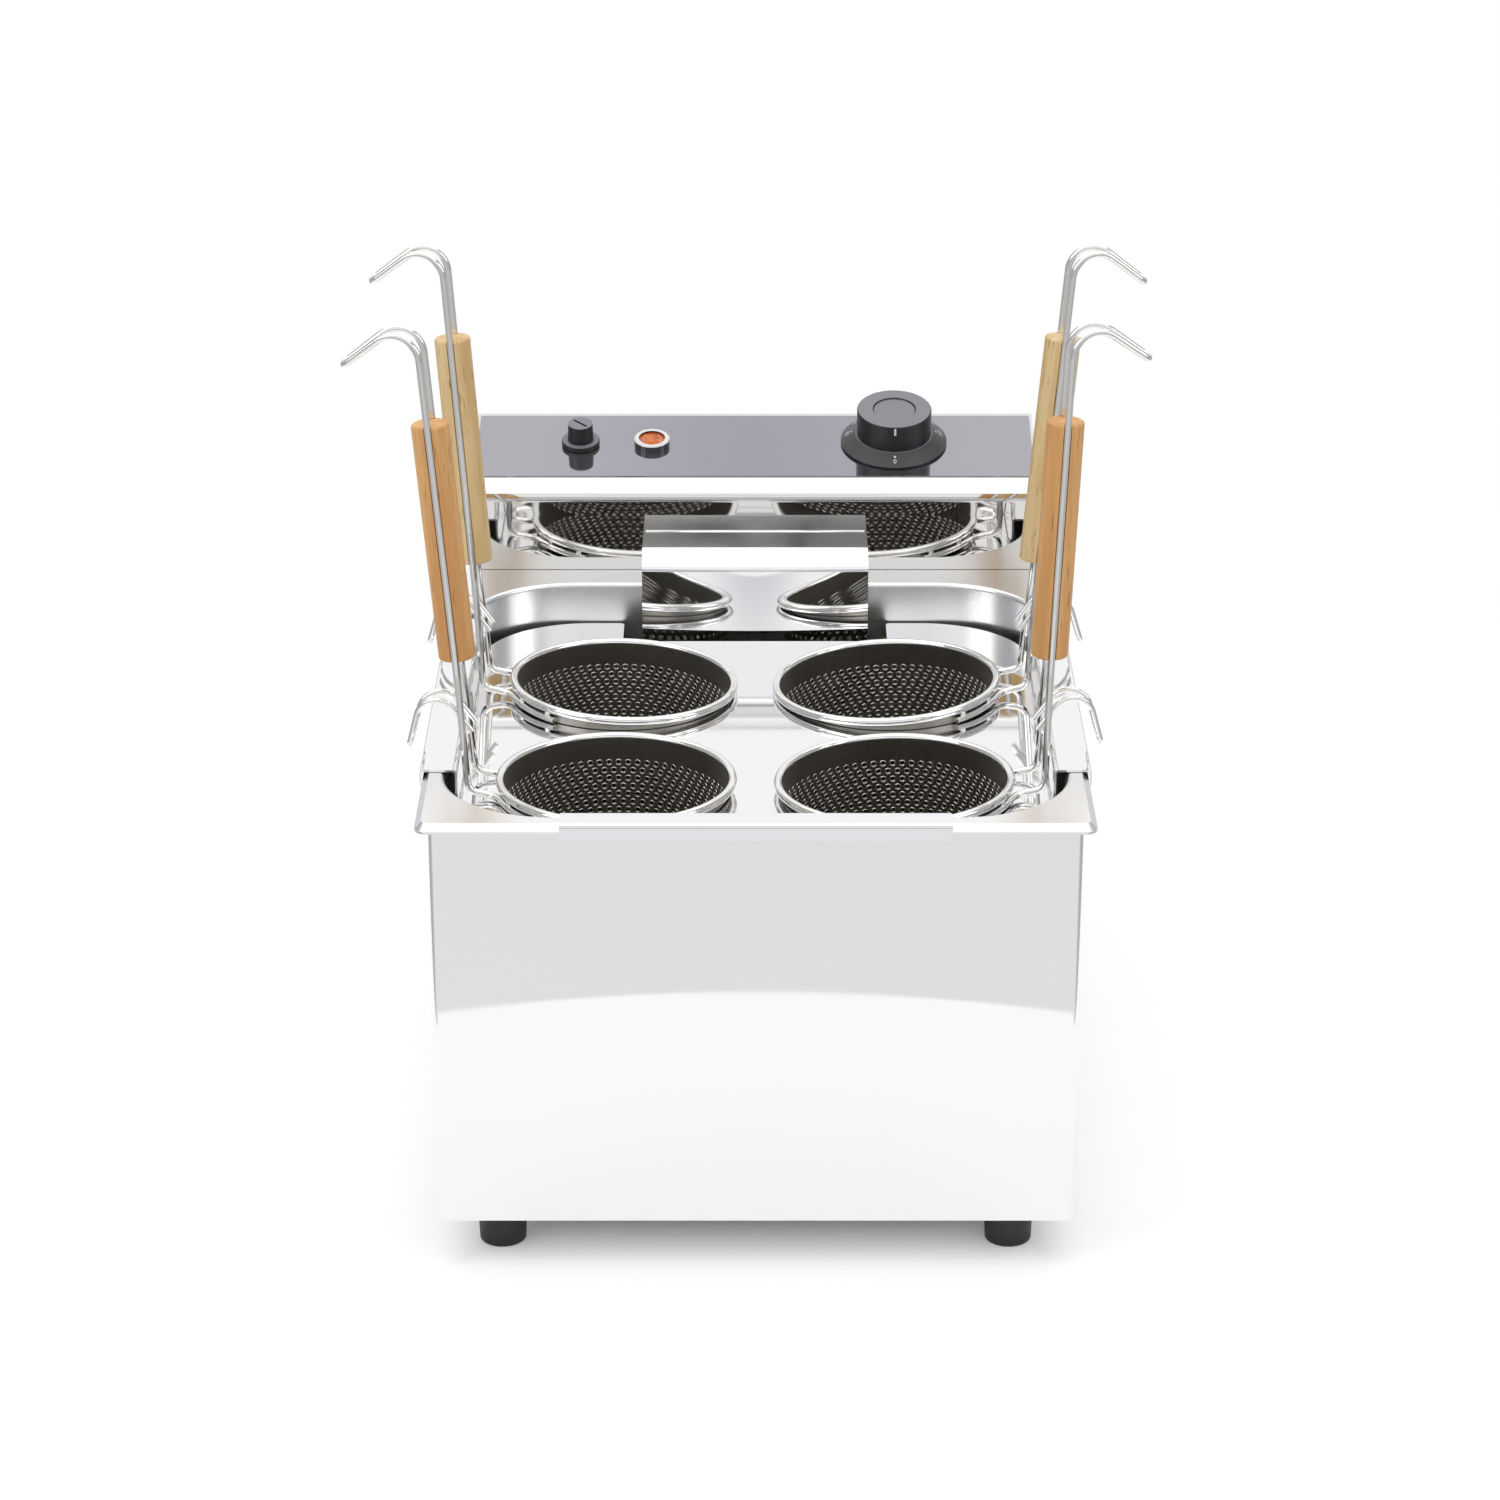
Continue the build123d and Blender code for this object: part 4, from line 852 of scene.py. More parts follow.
@dataclass
class BasketSet:
    """The four baskets: perforated cups, beads, wires, weld blobs and grips.

    Attributes:
        place: Shared places.
        shop: Shared node groups.
        side_pitch: Distance between holes across the rack.
        row_pitch: Distance between holes from front to back.
        row_setback: Distance of the first row behind the casing's front.
        cup_radius: Outer radius of a cup.
        sheet: Thickness of the cup's sheet.
        depth: Depth of a cup below its bead.
        floor_radius: Bend between the wall and the floor.
        bead_radius: Radius of the bead's roll.
        solid_band: Plain stretch of wall under the bead.
        hole_radius: Radius of a perforation.
        lip_width: Width of the raised lip round a perforation.
        lip_height: Height of that lip on the cup's inner side.
        edge_area: Faces smaller than this are the lips of perforations.
        holes_round: Perforations in one row of the wall.
        row_height: Height of one row of perforations.
        wire_radius: Radius of the handle wire.
        wire_rest: Height of the wire's middle over the plate.
        bead_to_wire: Drop from the bead to the wire.
        wrap_angle: Angle at which the wire ends on the cup.
        wrap_leave: Angle at which the wire leaves the cup.
        bend_steps: Steps of the bend between wall and floor.
        sharp_angle: Angle in degrees from which an edge of the cup looks sharp.
        floor_pitch: Distance between the floor's rings of perforations.
        floor_margin: Plain edge of the floor.
        bead_turns: Steps round the bead.
        bead_sides: Steps round the bead's roll.
        weld_size: Half sizes of a weld, outwards, along the bead and up.
        weld_back: Angle between the wire's end and its weld, in degrees.
        weld_lift: Height of a weld's middle over the wire's, in wire radii.
        weld_lump: Height of a weld's lumps.
        lump_waves: Waves of the lumps along X, Y and Z, in radians per metre.
        front_wood: Pale and dark grain of the front grips.
        rear_wood: Pale and dark grain of the rear grips.
        pore: Colour of the wood's pores.
        grain_shift: Shift of the grain from one grip to the next.
        poses: How each basket stands.
    """

    place: CookerFrame
    shop: GroupShop
    side_pitch: float = 150.0 * MM
    row_pitch: float = 152.0 * MM
    row_setback: float = 98.5 * MM
    cup_radius: float = 61.0 * MM
    sheet: float = 0.8 * MM
    depth: float = 125.0 * MM
    floor_radius: float = 10.0 * MM
    bead_radius: float = 2.45 * MM
    solid_band: float = 12.0 * MM
    hole_radius: float = 1.75 * MM
    lip_width: float = 0.18 * MM
    lip_height: float = 0.20 * MM
    edge_area: float = 0.6 * MM * MM
    holes_round: int = 72
    row_height: float = 4.6 * MM
    wire_radius: float = 1.9 * MM
    wire_rest: float = 2.2 * MM
    bead_to_wire: float = 5.7 * MM
    wrap_angle: float = 58.0
    wrap_leave: float = 30.0
    bend_steps: int = 4
    sharp_angle: float = 35.0
    floor_pitch: float = 5.4 * MM
    floor_margin: float = 3.0 * MM
    bead_turns: int = 144
    bead_sides: int = 20
    weld_size: tuple[float, float, float] = (1.5 * MM, 2.1 * MM, 2.4 * MM)
    weld_back: float = 5.0
    weld_lift: float = 1.1
    weld_lump: float = 0.18 * MM
    lump_waves: tuple[float, float, float] = (3100.0, 2700.0, 2900.0)
    front_wood: tuple[Color, Color] = ((0.96, 0.55, 0.22), (0.77, 0.37, 0.12))
    rear_wood: tuple[Color, Color] = ((0.98, 0.74, 0.38), (0.82, 0.54, 0.23))
    pore: Color = (0.34, 0.16, 0.07)
    grain_shift: float = 0.37
    poses: tuple[BasketPose, ...] = (
        BasketPose("front_left", -1, 0, 5.1, 4.5, 0.2),
        BasketPose("front_right", 1, 0, 2.4, 4.5, 1.45),
        BasketPose("rear_left", -1, 1, 4.3, 4.5, 2.2),
        BasketPose("rear_right", 1, 1, 5.1, 4.5, 2.95),
    )

    def build(self) -> None:
        """Build and dress all four baskets."""
        # The cup's steel is painted much darker than the bead's: a painted shade for the dim inside of the
        # cup. The hole lips get a brighter copy of it: a painted highlight.
        steel = SheetSteel("cup_steel", (0.33, 0.312, 0.282), (0.26, 0.38), Axis.Z,
                           grain_height=0.003 * MM, bow=0.02 * MM)
        edges = SheetSteel("hole_lip_painted_highlight", (0.74, 0.72, 0.67), (0.12, 0.20), Axis.Z,
                           grain_height=0.001 * MM, bow=0.0)
        wire = RoundWire("handle_wire_nickel").build(self.shop)
        bead = RoundWire("bead_steel", (0.86, 0.86, 0.85), (0.07, 0.12), wave=0.01 * MM)
        bead_material = bead.build(self.shop)
        cup_mesh = self.cup_mesh(steel.build(self.shop), edges.build(self.shop))
        bead_mesh = self.bead_mesh(bead_material)
        for index, pose in enumerate(self.poses):
            where = self.matrix(pose)
            cup = add_piece(f"{pose.name}_perforated_cup", cup_mesh, pose.body, where)
            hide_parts(f"{pose.name}_cup")
            add_piece(f"{pose.name}_bead", bead_mesh, pose.body, where)
            dress([f"{pose.name}_handle_wire", f"{pose.name}_hanging_hook"], wire)
            dress([f"{pose.name}_grip"], self.wood(pose, index).build(self.shop))
            self.weld_blobs(pose, where, wire)
            LOG.info("basket %s done", pose.name)

    def matrix(self, pose: BasketPose) -> Matrix:
        """Place of a basket, with the origin on its hole's axis at ground height.

        Args:
            pose: The basket's pose.

        Returns:
            The matrix from the basket's own frame to the cooker's.
        """
        x = pose.side * self.side_pitch / 2
        y = self.place.casing_front + self.row_setback + pose.row * self.row_pitch
        angle = math.radians(pose.turn if pose.side > 0 else 180 - pose.turn)
        reach = (self.cup_radius + self.wire_radius) * math.cos(math.radians(self.wrap_angle))
        pivot = Matrix.Translation((reach, 0, self.place.plate_top))
        tilt = pivot @ Matrix.Rotation(math.radians(-pose.tilt), 4, "Y") @ pivot.inverted()
        return Matrix.Translation((x, y, 0)) @ Matrix.Rotation(angle, 4, "Z") @ tilt

    @property
    def bead_height(self) -> float:
        """Height of the bead's middle before the basket settles."""
        return self.place.plate_top + self.wire_rest + self.bead_to_wire

    def wall_profile(self) -> list[tuple[float, float]]:
        """Radius and height along the cup's inner side, from the bead to the floor.

        Returns:
            Points at the rows of perforations, with the bend's arc stepped evenly.
        """
        inner = self.cup_radius - self.sheet
        top = self.bead_height
        floor = top - self.depth + self.sheet
        bend = self.floor_radius - self.sheet
        points = [(inner, top), (inner, top - self.solid_band)]
        rows = int((points[-1][1] - floor - bend) / self.row_height)
        step = (points[-1][1] - floor - bend) / rows
        points += [(inner, points[1][1] - step * (row + 1)) for row in range(rows)]
        for index in range(1, self.bend_steps + 1):
            angle = math.pi / 2 * index / self.bend_steps
            points.append((inner - bend + bend * math.cos(angle), floor + bend - bend * math.sin(angle)))
        return points

    def cup_mesh(self, material: bpy.types.Material, edges: bpy.types.Material) -> bpy.types.Mesh:
        """Perforated cup as one thick sheet with real holes.

        Args:
            material: The sheet's material, painted dark as the shade inside the cup.
            edges: Material of the lips of the holes, a brighter copy of the sheet's steel as a painted
                highlight.

        Returns:
            The mesh in the basket's own frame.
        """
        shape = bmesh.new()
        profile = self.wall_profile()
        count = 2 * self.holes_round
        rows = [self.ring(shape, radius, height, count) for radius, height in profile]
        last_perforated = len(profile) - 1 - self.bend_steps
        for row, (upper, lower) in enumerate(zip(rows, rows[1:])):
            if 1 <= row <= last_perforated:
                middle = tuple((top + bottom) / 2 for top, bottom in zip(profile[row], profile[row + 1]))
                self.hole_row(shape, upper, lower, middle, stagger=row % 2)
            else:
                self.close_band(shape, upper, lower)
        self.holed_floor(shape, rows[-1], profile[-1])
        bmesh.ops.remove_doubles(shape, verts=shape.verts, dist=0.005 * MM)
        bmesh.ops.recalc_face_normals(shape, faces=shape.faces)
        self.thicken(shape)
        # The small faces, the lips round the holes, take the brighter steel: a painted highlight on their
        # edges.
        for face in shape.faces:
            face.material_index = int(face.calc_area() < self.edge_area)
        mesh = bake("perforated_cup", shape, material, edges)
        mesh.shade_smooth()
        mesh.set_sharp_from_angle(angle=math.radians(self.sharp_angle))
        return mesh

    def thicken(self, shape: bmesh.types.BMesh) -> None:
        """Give the cup's inner skin its sheet thickness, outwards.

        Args:
            shape: The inner skin, whose faces look inwards or outwards alike.
        """
        wall = max(shape.faces, key=lambda face: face.calc_center_median().z)
        center = wall.calc_center_median()
        inward = wall.normal.dot(Vector((-center.x, -center.y, 0))) > 0
        if not inward:
            bmesh.ops.reverse_faces(shape, faces=shape.faces)
        shape.normal_update()
        bmesh.ops.solidify(shape, geom=shape.faces, thickness=self.sheet)
        bmesh.ops.recalc_face_normals(shape, faces=shape.faces)

    @staticmethod
    def ring(shape: bmesh.types.BMesh, radius: float, height: float, count: int) -> list:
        """Level ring of vertices.

        Args:
            shape: The shape that takes it.
            radius: Radius of the ring.
            height: Height of the ring.
            count: Number of vertices.

        Returns:
            The vertices in order.
        """
        return [
            shape.verts.new((radius * math.cos(2 * math.pi * i / count),
                             radius * math.sin(2 * math.pi * i / count), height))
            for i in range(count)
        ]

    @staticmethod
    def close_band(shape: bmesh.types.BMesh, upper: list, lower: list) -> None:
        """Join two rings with plain faces.

        Args:
            shape: The shape that takes them.
            upper: Upper ring.
            lower: Lower ring.
        """
        for i in range(len(upper)):
            j = (i + 1) % len(upper)
            shape.faces.new((upper[i], upper[j], lower[j], lower[i]))

    def hole_row(self, shape: bmesh.types.BMesh, upper: list, lower: list, middle: Span,
                 stagger: int = 0, on_floor: bool = False) -> None:
        """One row of perforations between two rings.

        Args:
            shape: The shape that takes them.
            upper: Upper or outer ring.
            lower: Lower or inner ring.
            middle: Radius and height of the middles of the holes.
            stagger: 1 where the row is shifted by half a pitch, or else 0.
            on_floor: Whether the row lies in the floor and not in the wall.
        """
        radius, height = middle
        count = len(upper)
        up = Vector((0, 0, 1))
        turns = [2 * math.pi * i / count for i in range(count)]
        sides = {
            i: shape.verts.new((radius * math.cos(turns[i]), radius * math.sin(turns[i]), height))
            for i in range(stagger, count, 2)
        }
        for left in range(stagger, count, 2):
            mid, right = (left + 1) % count, (left + 2) % count
            outline = [upper[left], upper[mid], upper[right], sides[right],
                       lower[right], lower[mid], lower[left], sides[left]]
            out = Vector((math.cos(turns[mid]), math.sin(turns[mid]), 0))
            across = Vector((-math.sin(turns[mid]), math.cos(turns[mid]), 0))
            along, inward = (out, up) if on_floor else (up, -out)
            self.punch(shape, outline, out * radius + up * height, across, along, inward)

    def punch(self, shape: bmesh.types.BMesh, outline: list, center: Vector, across: Vector, along: Vector,
              inward: Vector) -> None:
        """One perforation with its raised lip, inside its cell.

        Args:
            shape: The shape that takes it.
            outline: The cell's eight vertices.
            center: Middle of the hole.
            across: Unit vector along the row.
            along: Unit vector across the row.
            inward: Unit vector towards the inside of the cup.
        """
        rings = [outline]
        corners = len(outline)
        for radius, rise in ((self.hole_radius + self.lip_width, 0.0), (self.hole_radius, self.lip_height)):
            ring = []
            for k in range(corners):
                turn = math.radians(135 - 360 * k / corners)
                spot = across * (radius * math.cos(turn)) + along * (radius * math.sin(turn))
                ring.append(shape.verts.new(center + spot + inward * rise))
            rings.append(self.match(rings[-1], ring))
        for outer, inner in zip(rings, rings[1:]):
            self.close_band(shape, outer, inner)

    def holed_floor(self, shape: bmesh.types.BMesh, edge: list, last: tuple[float, float]) -> None:
        """Flat floor with rings of perforations.

        Args:
            shape: The shape that takes it.
            edge: The ring where the bend ends.
            last: Radius and height of that ring.
        """
        radius, height = last
        pitch = self.floor_pitch
        ring_radius = radius - self.floor_margin - pitch / 2
        while ring_radius >= 1.5 * pitch:
            count = 2 * int(2 * math.pi * ring_radius / pitch)
            outer = self.ring(shape, ring_radius + pitch / 2, height, count)
            self.bridge(shape, edge, outer)
            edge = self.ring(shape, ring_radius - pitch / 2, height, count)
            self.hole_row(shape, outer, edge, (ring_radius, height), on_floor=True)
            ring_radius -= pitch
        center = shape.verts.new((0, 0, height))
        for i, vert in enumerate(edge):
            shape.faces.new((vert, edge[(i + 1) % len(edge)], center))

    @staticmethod
    def bridge(shape: bmesh.types.BMesh, outer: list, inner: list) -> None:
        """Fill the ribbon between two rings with different numbers of vertices.

        Args:
            shape: The shape that takes the faces.
            outer: Outer ring.
            inner: Inner ring.
        """
        i = j = 0
        while i < len(outer) or j < len(inner):
            if j >= len(inner) or (i < len(outer) and i / len(outer) <= j / len(inner)):
                corners = (outer[i % len(outer)], outer[(i + 1) % len(outer)], inner[j % len(inner)])
                i += 1
            else:
                corners = (outer[i % len(outer)], inner[(j + 1) % len(inner)], inner[j % len(inner)])
                j += 1
            shape.faces.new(corners)

    @staticmethod
    def match(outline: list, edge: list) -> list:
        """Turn or flip a hole's ring until its vertices face those of its cell.

        Args:
            outline: The cell's eight vertices.
            edge: The hole's eight vertices.

        Returns:
            The hole's vertices in the cell's order.
        """
        options = [order[shift:] + order[:shift]
                   for order in (edge, edge[::-1]) for shift in range(len(edge))]
        return min(options, key=lambda ring: sum((a.co - b.co).length for a, b in zip(outline, ring)))

    def bead_mesh(self, material: bpy.types.Material) -> bpy.types.Mesh:
        """Rolled bead round the cup's mouth.

        Args:
            material: The bead's material.

        Returns:
            The mesh in the basket's own frame.
        """
        shape = bmesh.new()
        middle = self.cup_radius - self.sheet + self.bead_radius
        rings = []
        for k in range(self.bead_sides):
            tube = 2 * math.pi * k / self.bead_sides
            rings.append(self.ring(shape, middle + self.bead_radius * math.cos(tube),
                                   self.bead_height + self.bead_radius * math.sin(tube), self.bead_turns))
        for k, ring in enumerate(rings):
            self.close_band(shape, ring, rings[(k + 1) % self.bead_sides])
        bmesh.ops.recalc_face_normals(shape, faces=shape.faces)
        mesh = bake("rolled_bead", shape, material)
        mesh.shade_smooth()
        return mesh

    def weld_blobs(self, pose: BasketPose, where: Matrix, material: bpy.types.Material) -> None:
        """Lumpy welds between the wire and the bead.

        Args:
            pose: The basket's pose.
            where: The basket's matrix.
            material: The wire's material.
        """
        shape = bmesh.new()
        ring = self.cup_radius + self.wire_radius
        low = self.place.plate_top + self.wire_rest
        for angle in (self.wrap_angle - self.weld_back, self.wrap_leave):
            for side in (-1, 1):
                turn = math.radians(side * angle)
                center = Vector((ring * math.cos(turn), ring * math.sin(turn),
                                 low + self.wire_radius * self.weld_lift))
                shift = Matrix.Translation(center) @ Matrix.Rotation(turn, 4, "Z")
                shift = shift @ Matrix.Diagonal((*self.weld_size, 1.0))
                bmesh.ops.create_icosphere(shape, subdivisions=3, radius=1.0, matrix=shift)
        for vert in shape.verts:
            lump = math.prod(math.sin(part * wave) for part, wave in zip(vert.co, self.lump_waves))
            vert.co += vert.normal * lump * self.weld_lump
        shape.transform(where)
        for face in shape.faces:
            face.smooth = True
        name = f"{pose.name}_welds"
        add_piece(name, bake(name, shape, material), pose.body)

    def wood(self, pose: BasketPose, index: int) -> GripWood:
        """Finish of one grip: redder in front, yellower behind.

        Args:
            pose: The basket's pose.
            index: Number of the basket.

        Returns:
            The grip's finish.
        """
        light, dark = self.rear_wood if pose.row else self.front_wood
        turn = (0.0, -pose.side * math.radians(pose.lean), 0.0)
        return GripWood(f"{pose.name}_grip_wood", light, dark, self.pore, turn, self.grain_shift * index)


@dataclass
class Bodywork:
    """Casing, feet, tank and rack.

    Attributes:
        place: Shared places, not used.
        shop: Shared node groups.
    """

    place: CookerFrame
    shop: GroupShop

    def build(self) -> None:
        """Dress the sheet metal, the feet and their screws."""
        feet = [f"{corner}_foot" for corner in ("front_left", "front_right", "rear_left", "rear_right")]
        screws = ["foot_screws", "foot_nuts", "base_plate_screws", "head_rail_screws", "head_back_screws"]
        for nodes, finish in (
            (["casing_shell"], SheetSteel("casing_steel", (0.865, 0.865, 0.865), (0.02, 0.04),
                                          grain_height=0.0002 * MM, bow=0.03 * MM, streak=0.008)),
            (["base_plate", "head_rail"], SheetSteel("plain_steel", (0.66, 0.66, 0.66), (0.22, 0.32),
                                                     grain_height=0.004 * MM)),
            (["tank_pan"], SheetSteel("tank_steel", (0.93, 0.935, 0.945), (0.25, 0.31),
                                      grain_height=0.0015 * MM, bow=0.01 * MM)),
            (["basket_rack"], SheetSteel("rack_steel", (0.90, 0.90, 0.91), (0.04, 0.07),
                                         grain_height=0.0004 * MM, bow=0.012 * MM, streak=0.012)),
            (feet, Moulding("foot_rubber", (0.022, 0.022, 0.024), (0.5, 0.65),
                            texture=0.03 * MM, texture_scale=900.0)),
            (screws, RoundWire("plated_screws", (0.60, 0.60, 0.61), (0.2, 0.3))),
        ):
            dress(nodes, finish.build(self.shop))


@dataclass
class ControlHead:
    """Head housing, fascia, knobs, lamp, hood and heating elements.

    Attributes:
        place: Shared places.
        shop: Shared node groups.
        slope: Slope of the fascia in degrees.
        front_height: Height of the head's front face over the rim.
        chamfer: Size of the head's front chamfer.
        knob_side: Sideways place of the temperature knob.
        knob_up: Place of the temperature knob up the slope.
        knob_base: Height of the knob's underside over the steel.
        skirt_radius: Outer radius of the dial skirt.
        skirt_edge: Height of the skirt's outer edge.
        skirt_height: Height of the skirt's top.
        cap_radius: Radius of the knob's cap.
        groove_radius: Radius where the skirt's cone ends.
        knob_height: Height of the knob.
        seam_width: Width of the seam behind the hood's top.
        seam_height: Height of the seam.
        seam_sink: Depth of the seam's foot in the sheet.
        face_lean: Forward lean of the head's face at its upper bend, in degrees.
        face_bend: Height over which the lean comes in.
        soft_bend: Height of the soft part of the bend over that face.
        hood_lean: Lean of the hood's front in its middle, in degrees.
        hood_facet: Drop of the hood's sloped edge.
        hood_bend: Height of the soft part of the bend under that edge.
        bend_tilt: Backward tilt at the top of both soft bends, in degrees.
        side_marks: Angle of the dial's first and last numeral from its front, in degrees.
        numerals: Numerals of the dial, the first one in front.
        numeral_size: Size of a numeral.
        numeral_drop: How far a numeral stands in from the print's middle.
        print_out: How far the print's middle lies outside the skirt's.
        print_lift: Height of the print over the skirt.
        dot_radius: Radius of a dot.
        dot_out: How far a dot stands out from the print's middle.
        pointer_size: Width and length of the pointer.
        pointer_drop: Drop from the knob's top to the pointer's middle.
        pointer_lift: Height of the pointer over the cap.
        round_steps: Steps of a half circle.
    """

    place: CookerFrame
    shop: GroupShop
    slope: float = 13.5
    front_height: float = 48.1 * MM
    chamfer: float = 7.3 * MM
    knob_side: float = 83.4 * MM
    knob_up: float = 39.0 * MM
    knob_base: float = 1.3 * MM
    skirt_radius: float = 31.8 * MM
    skirt_edge: float = 1.0 * MM
    skirt_height: float = 6.2 * MM
    cap_radius: float = 22.3 * MM
    groove_radius: float = 23.2 * MM
    knob_height: float = 22.9 * MM
    seam_width: float = 1.2 * MM
    seam_height: float = 0.5 * MM
    seam_sink: float = 0.05 * MM
    face_lean: float = 4.0
    face_bend: float = 13.5 * MM
    soft_bend: float = 6.0 * MM
    hood_lean: float = -4.5
    hood_facet: float = 5.6 * MM
    hood_bend: float = 4.0 * MM
    bend_tilt: float = 28.0
    side_marks: float = 98.0
    numerals: tuple[str, ...] = ("0", "50", "60", "70", "80", "90", "100", "110")
    numeral_size: float = 4.2 * MM
    numeral_drop: float = 0.6 * MM
    print_out: float = 0.3 * MM
    print_lift: float = 0.06 * MM
    dot_radius: float = 0.7 * MM
    dot_out: float = 2.6 * MM
    pointer_size: Span = (1.3 * MM, 5.0 * MM)
    pointer_drop: float = 3.0 * MM
    pointer_lift: float = 0.05 * MM
    round_steps: int = 8

    def build(self) -> None:
        """Dress the head and add the dial's marks."""
        top = self.place.rim_top + self.front_height
        low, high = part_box("element_hood")
        mirror = {"rough": (0.02, 0.04), "grain_height": 0.0003 * MM, "bow": 0.012 * MM, "streak": 0.012}
        head = SheetSteel("head_steel", (0.80, 0.785, 0.765), **mirror, fold=FrontFold(
            self.face_lean, foot=top - self.face_bend, rise=self.face_bend, reach=0.0,
            bend_foot=top - self.soft_bend, bend_height=self.soft_bend, bend_tilt=self.bend_tilt))
        hood = SheetSteel("hood_steel", (0.93, 0.93, 0.93), **mirror, fold=FrontFold(
            self.hood_lean, foot=low[2], rise=0.0, reach=1.1 * high[0],
            bend_foot=high[2] - self.hood_facet - self.hood_bend, bend_height=self.hood_bend,
            bend_tilt=self.bend_tilt))
        dress(["head_shell", "head_back_cover"], head.build(self.shop))
        hood_material = hood.build(self.shop)
        dress(["element_hood"], hood_material)
        self.hood_seam(low, high, hood_material)
        for nodes, finish in self.fittings():
            dress(nodes, finish.build(self.shop))
        self.dial_marks(Ink().build(self.shop))

    def fittings(self) -> Iterable[tuple[list[str], Finish]]:
        """Finishes of what the head carries.

        Returns:
            Names of the nodes with their finish.
        """
        slope = math.radians(self.slope)
        panel_normal = (0.0, -math.sin(slope), math.cos(slope))
        return (
            (["control_panel"], FasciaFilm()),
            # The knobs' grey tops are a painted highlight on the black plastic.
            (["temperature_knob", "power_knob"], Moulding(
                "knob_plastic", (0.018, 0.018, 0.021), (0.30, 0.40), texture=0.012 * MM,
                painted_highlight=(0.25, 0.255, 0.285), axis=panel_normal, highlight_from=(0.82, 0.985))),
            (["thermostat_shaft", "selector_shaft"], RoundWire("shaft_steel", (0.6, 0.6, 0.6))),
            # The bezel's near-white top is a painted highlight on the black plastic.
            (["lamp_bezel"], Moulding(
                "bezel_plastic", (0.045, 0.04, 0.055), (0.08, 0.14), texture=0.002 * MM,
                painted_highlight=(0.90, 0.90, 0.89), axis=panel_normal, highlight_from=(0.35, 0.5), coat=0.5)),
            (["lamp_lens"], LensPlastic()),
            (["lamp_body", "thermostat_body", "selector_switch_body", "safety_limiter", "terminal_block"],
             Moulding("inner_plastic", (0.72, 0.70, 0.64), (0.4, 0.5))),
            (["cable_gland"], Moulding("gland_plastic", (0.03, 0.03, 0.03))),
            (["outer_heating_element", "middle_heating_element", "inner_heating_element", "element_strap",
              "element_clamp_plate", "thermostat_bulb", "thermostat_capillary"],
             SheetSteel("element_steel", (0.34, 0.32, 0.30), (0.30, 0.45), Axis.Y, grain_height=0.004 * MM)),
        )

    def hood_seam(self, low: Sequence[float], high: Sequence[float], material: bpy.types.Material) -> None:
        """Bright seam where the hood's top meets the head.

        Args:
            low: Lowest corner of the hood's box.
            high: Highest corner of the hood's box.
            material: The hood's steel.
        """
        shape = bmesh.new()
        steps = self.round_steps
        ends = []
        for x in (low[0] + self.seam_width, high[0] - self.seam_width):
            ends.append([
                shape.verts.new((x, high[1] - self.seam_width / 2 * (1 + math.cos(math.pi * k / steps)),
                                 high[2] - self.seam_sink + self.seam_height * math.sin(math.pi * k / steps)))
                for k in range(steps + 1)
            ])
        for k in range(steps):
            shape.faces.new((ends[0][k], ends[0][k + 1], ends[1][k + 1], ends[1][k]))
        for end in ends:
            shape.faces.new(end)
        shape.faces.new((ends[0][0], ends[1][0], ends[1][-1], ends[0][-1]))
        bmesh.ops.recalc_face_normals(shape, faces=shape.faces)
        for face in shape.faces:
            face.smooth = len(face.verts) == 4
        add_piece("hood_seam", bake("hood_seam", shape, material), Body.HEAD.value)

    def panel_matrix(self, side: float, up: float, lift: float) -> Matrix:
        """Place on the sloped top.

        Args:
            side: Sideways place.
            up: Distance up the slope.
            lift: Height over the steel.

        Returns:
            Matrix whose Z points out of the panel and Y up the slope.
        """
        origin = Matrix.Translation((0, self.place.casing_back + self.chamfer,
                                     self.place.rim_top + self.front_height + self.chamfer))
        sloped = origin @ Matrix.Rotation(math.radians(self.slope), 4, "X")
        return sloped @ Matrix.Translation((side, up, lift))

    def dial_marks(self, material: bpy.types.Material) -> None:
        """Numerals and dots on the dial skirt, and the pointer on the cap.

        Args:
            material: The ink.
        """
        shape = bmesh.new()
        slant = math.atan2(self.skirt_height - self.skirt_edge, self.skirt_radius - self.groove_radius)
        middle = (self.skirt_radius + self.groove_radius) / 2 + self.print_out
        height = self.skirt_edge + (self.skirt_radius - middle) * math.tan(slant) + self.print_lift
        step = (360 - 2 * self.side_marks) / (len(self.numerals) - 2)
        for index, text in enumerate(self.numerals):
            around = self.side_marks + step * (index - 1) if index else 0.0
            turn = math.radians(-90 - around)
            spot = Matrix.Rotation(turn, 4, "Z") @ Matrix.Translation((middle, 0, height))
            face = spot @ Matrix.Rotation(slant, 4, "Y") @ Matrix.Rotation(math.radians(90), 4, "Z")
            self.numeral(shape, text, face)
            dot = face @ Matrix.Translation((0, self.dot_out, 0))
            bmesh.ops.create_circle(shape, cap_ends=True, segments=2 * self.round_steps,
                                    radius=self.dot_radius, matrix=dot)
        pointer = Matrix.Translation((0, -self.cap_radius - self.pointer_lift,
                                      self.knob_height - self.pointer_drop))
        self.bar(shape, *self.pointer_size, pointer @ Matrix.Rotation(math.radians(90), 4, "X"))
        shape.transform(self.panel_matrix(self.knob_side, self.knob_up, self.knob_base))
        add_piece("dial_marks", bake("dial_marks", shape, material), Body.TEMPERATURE.value)

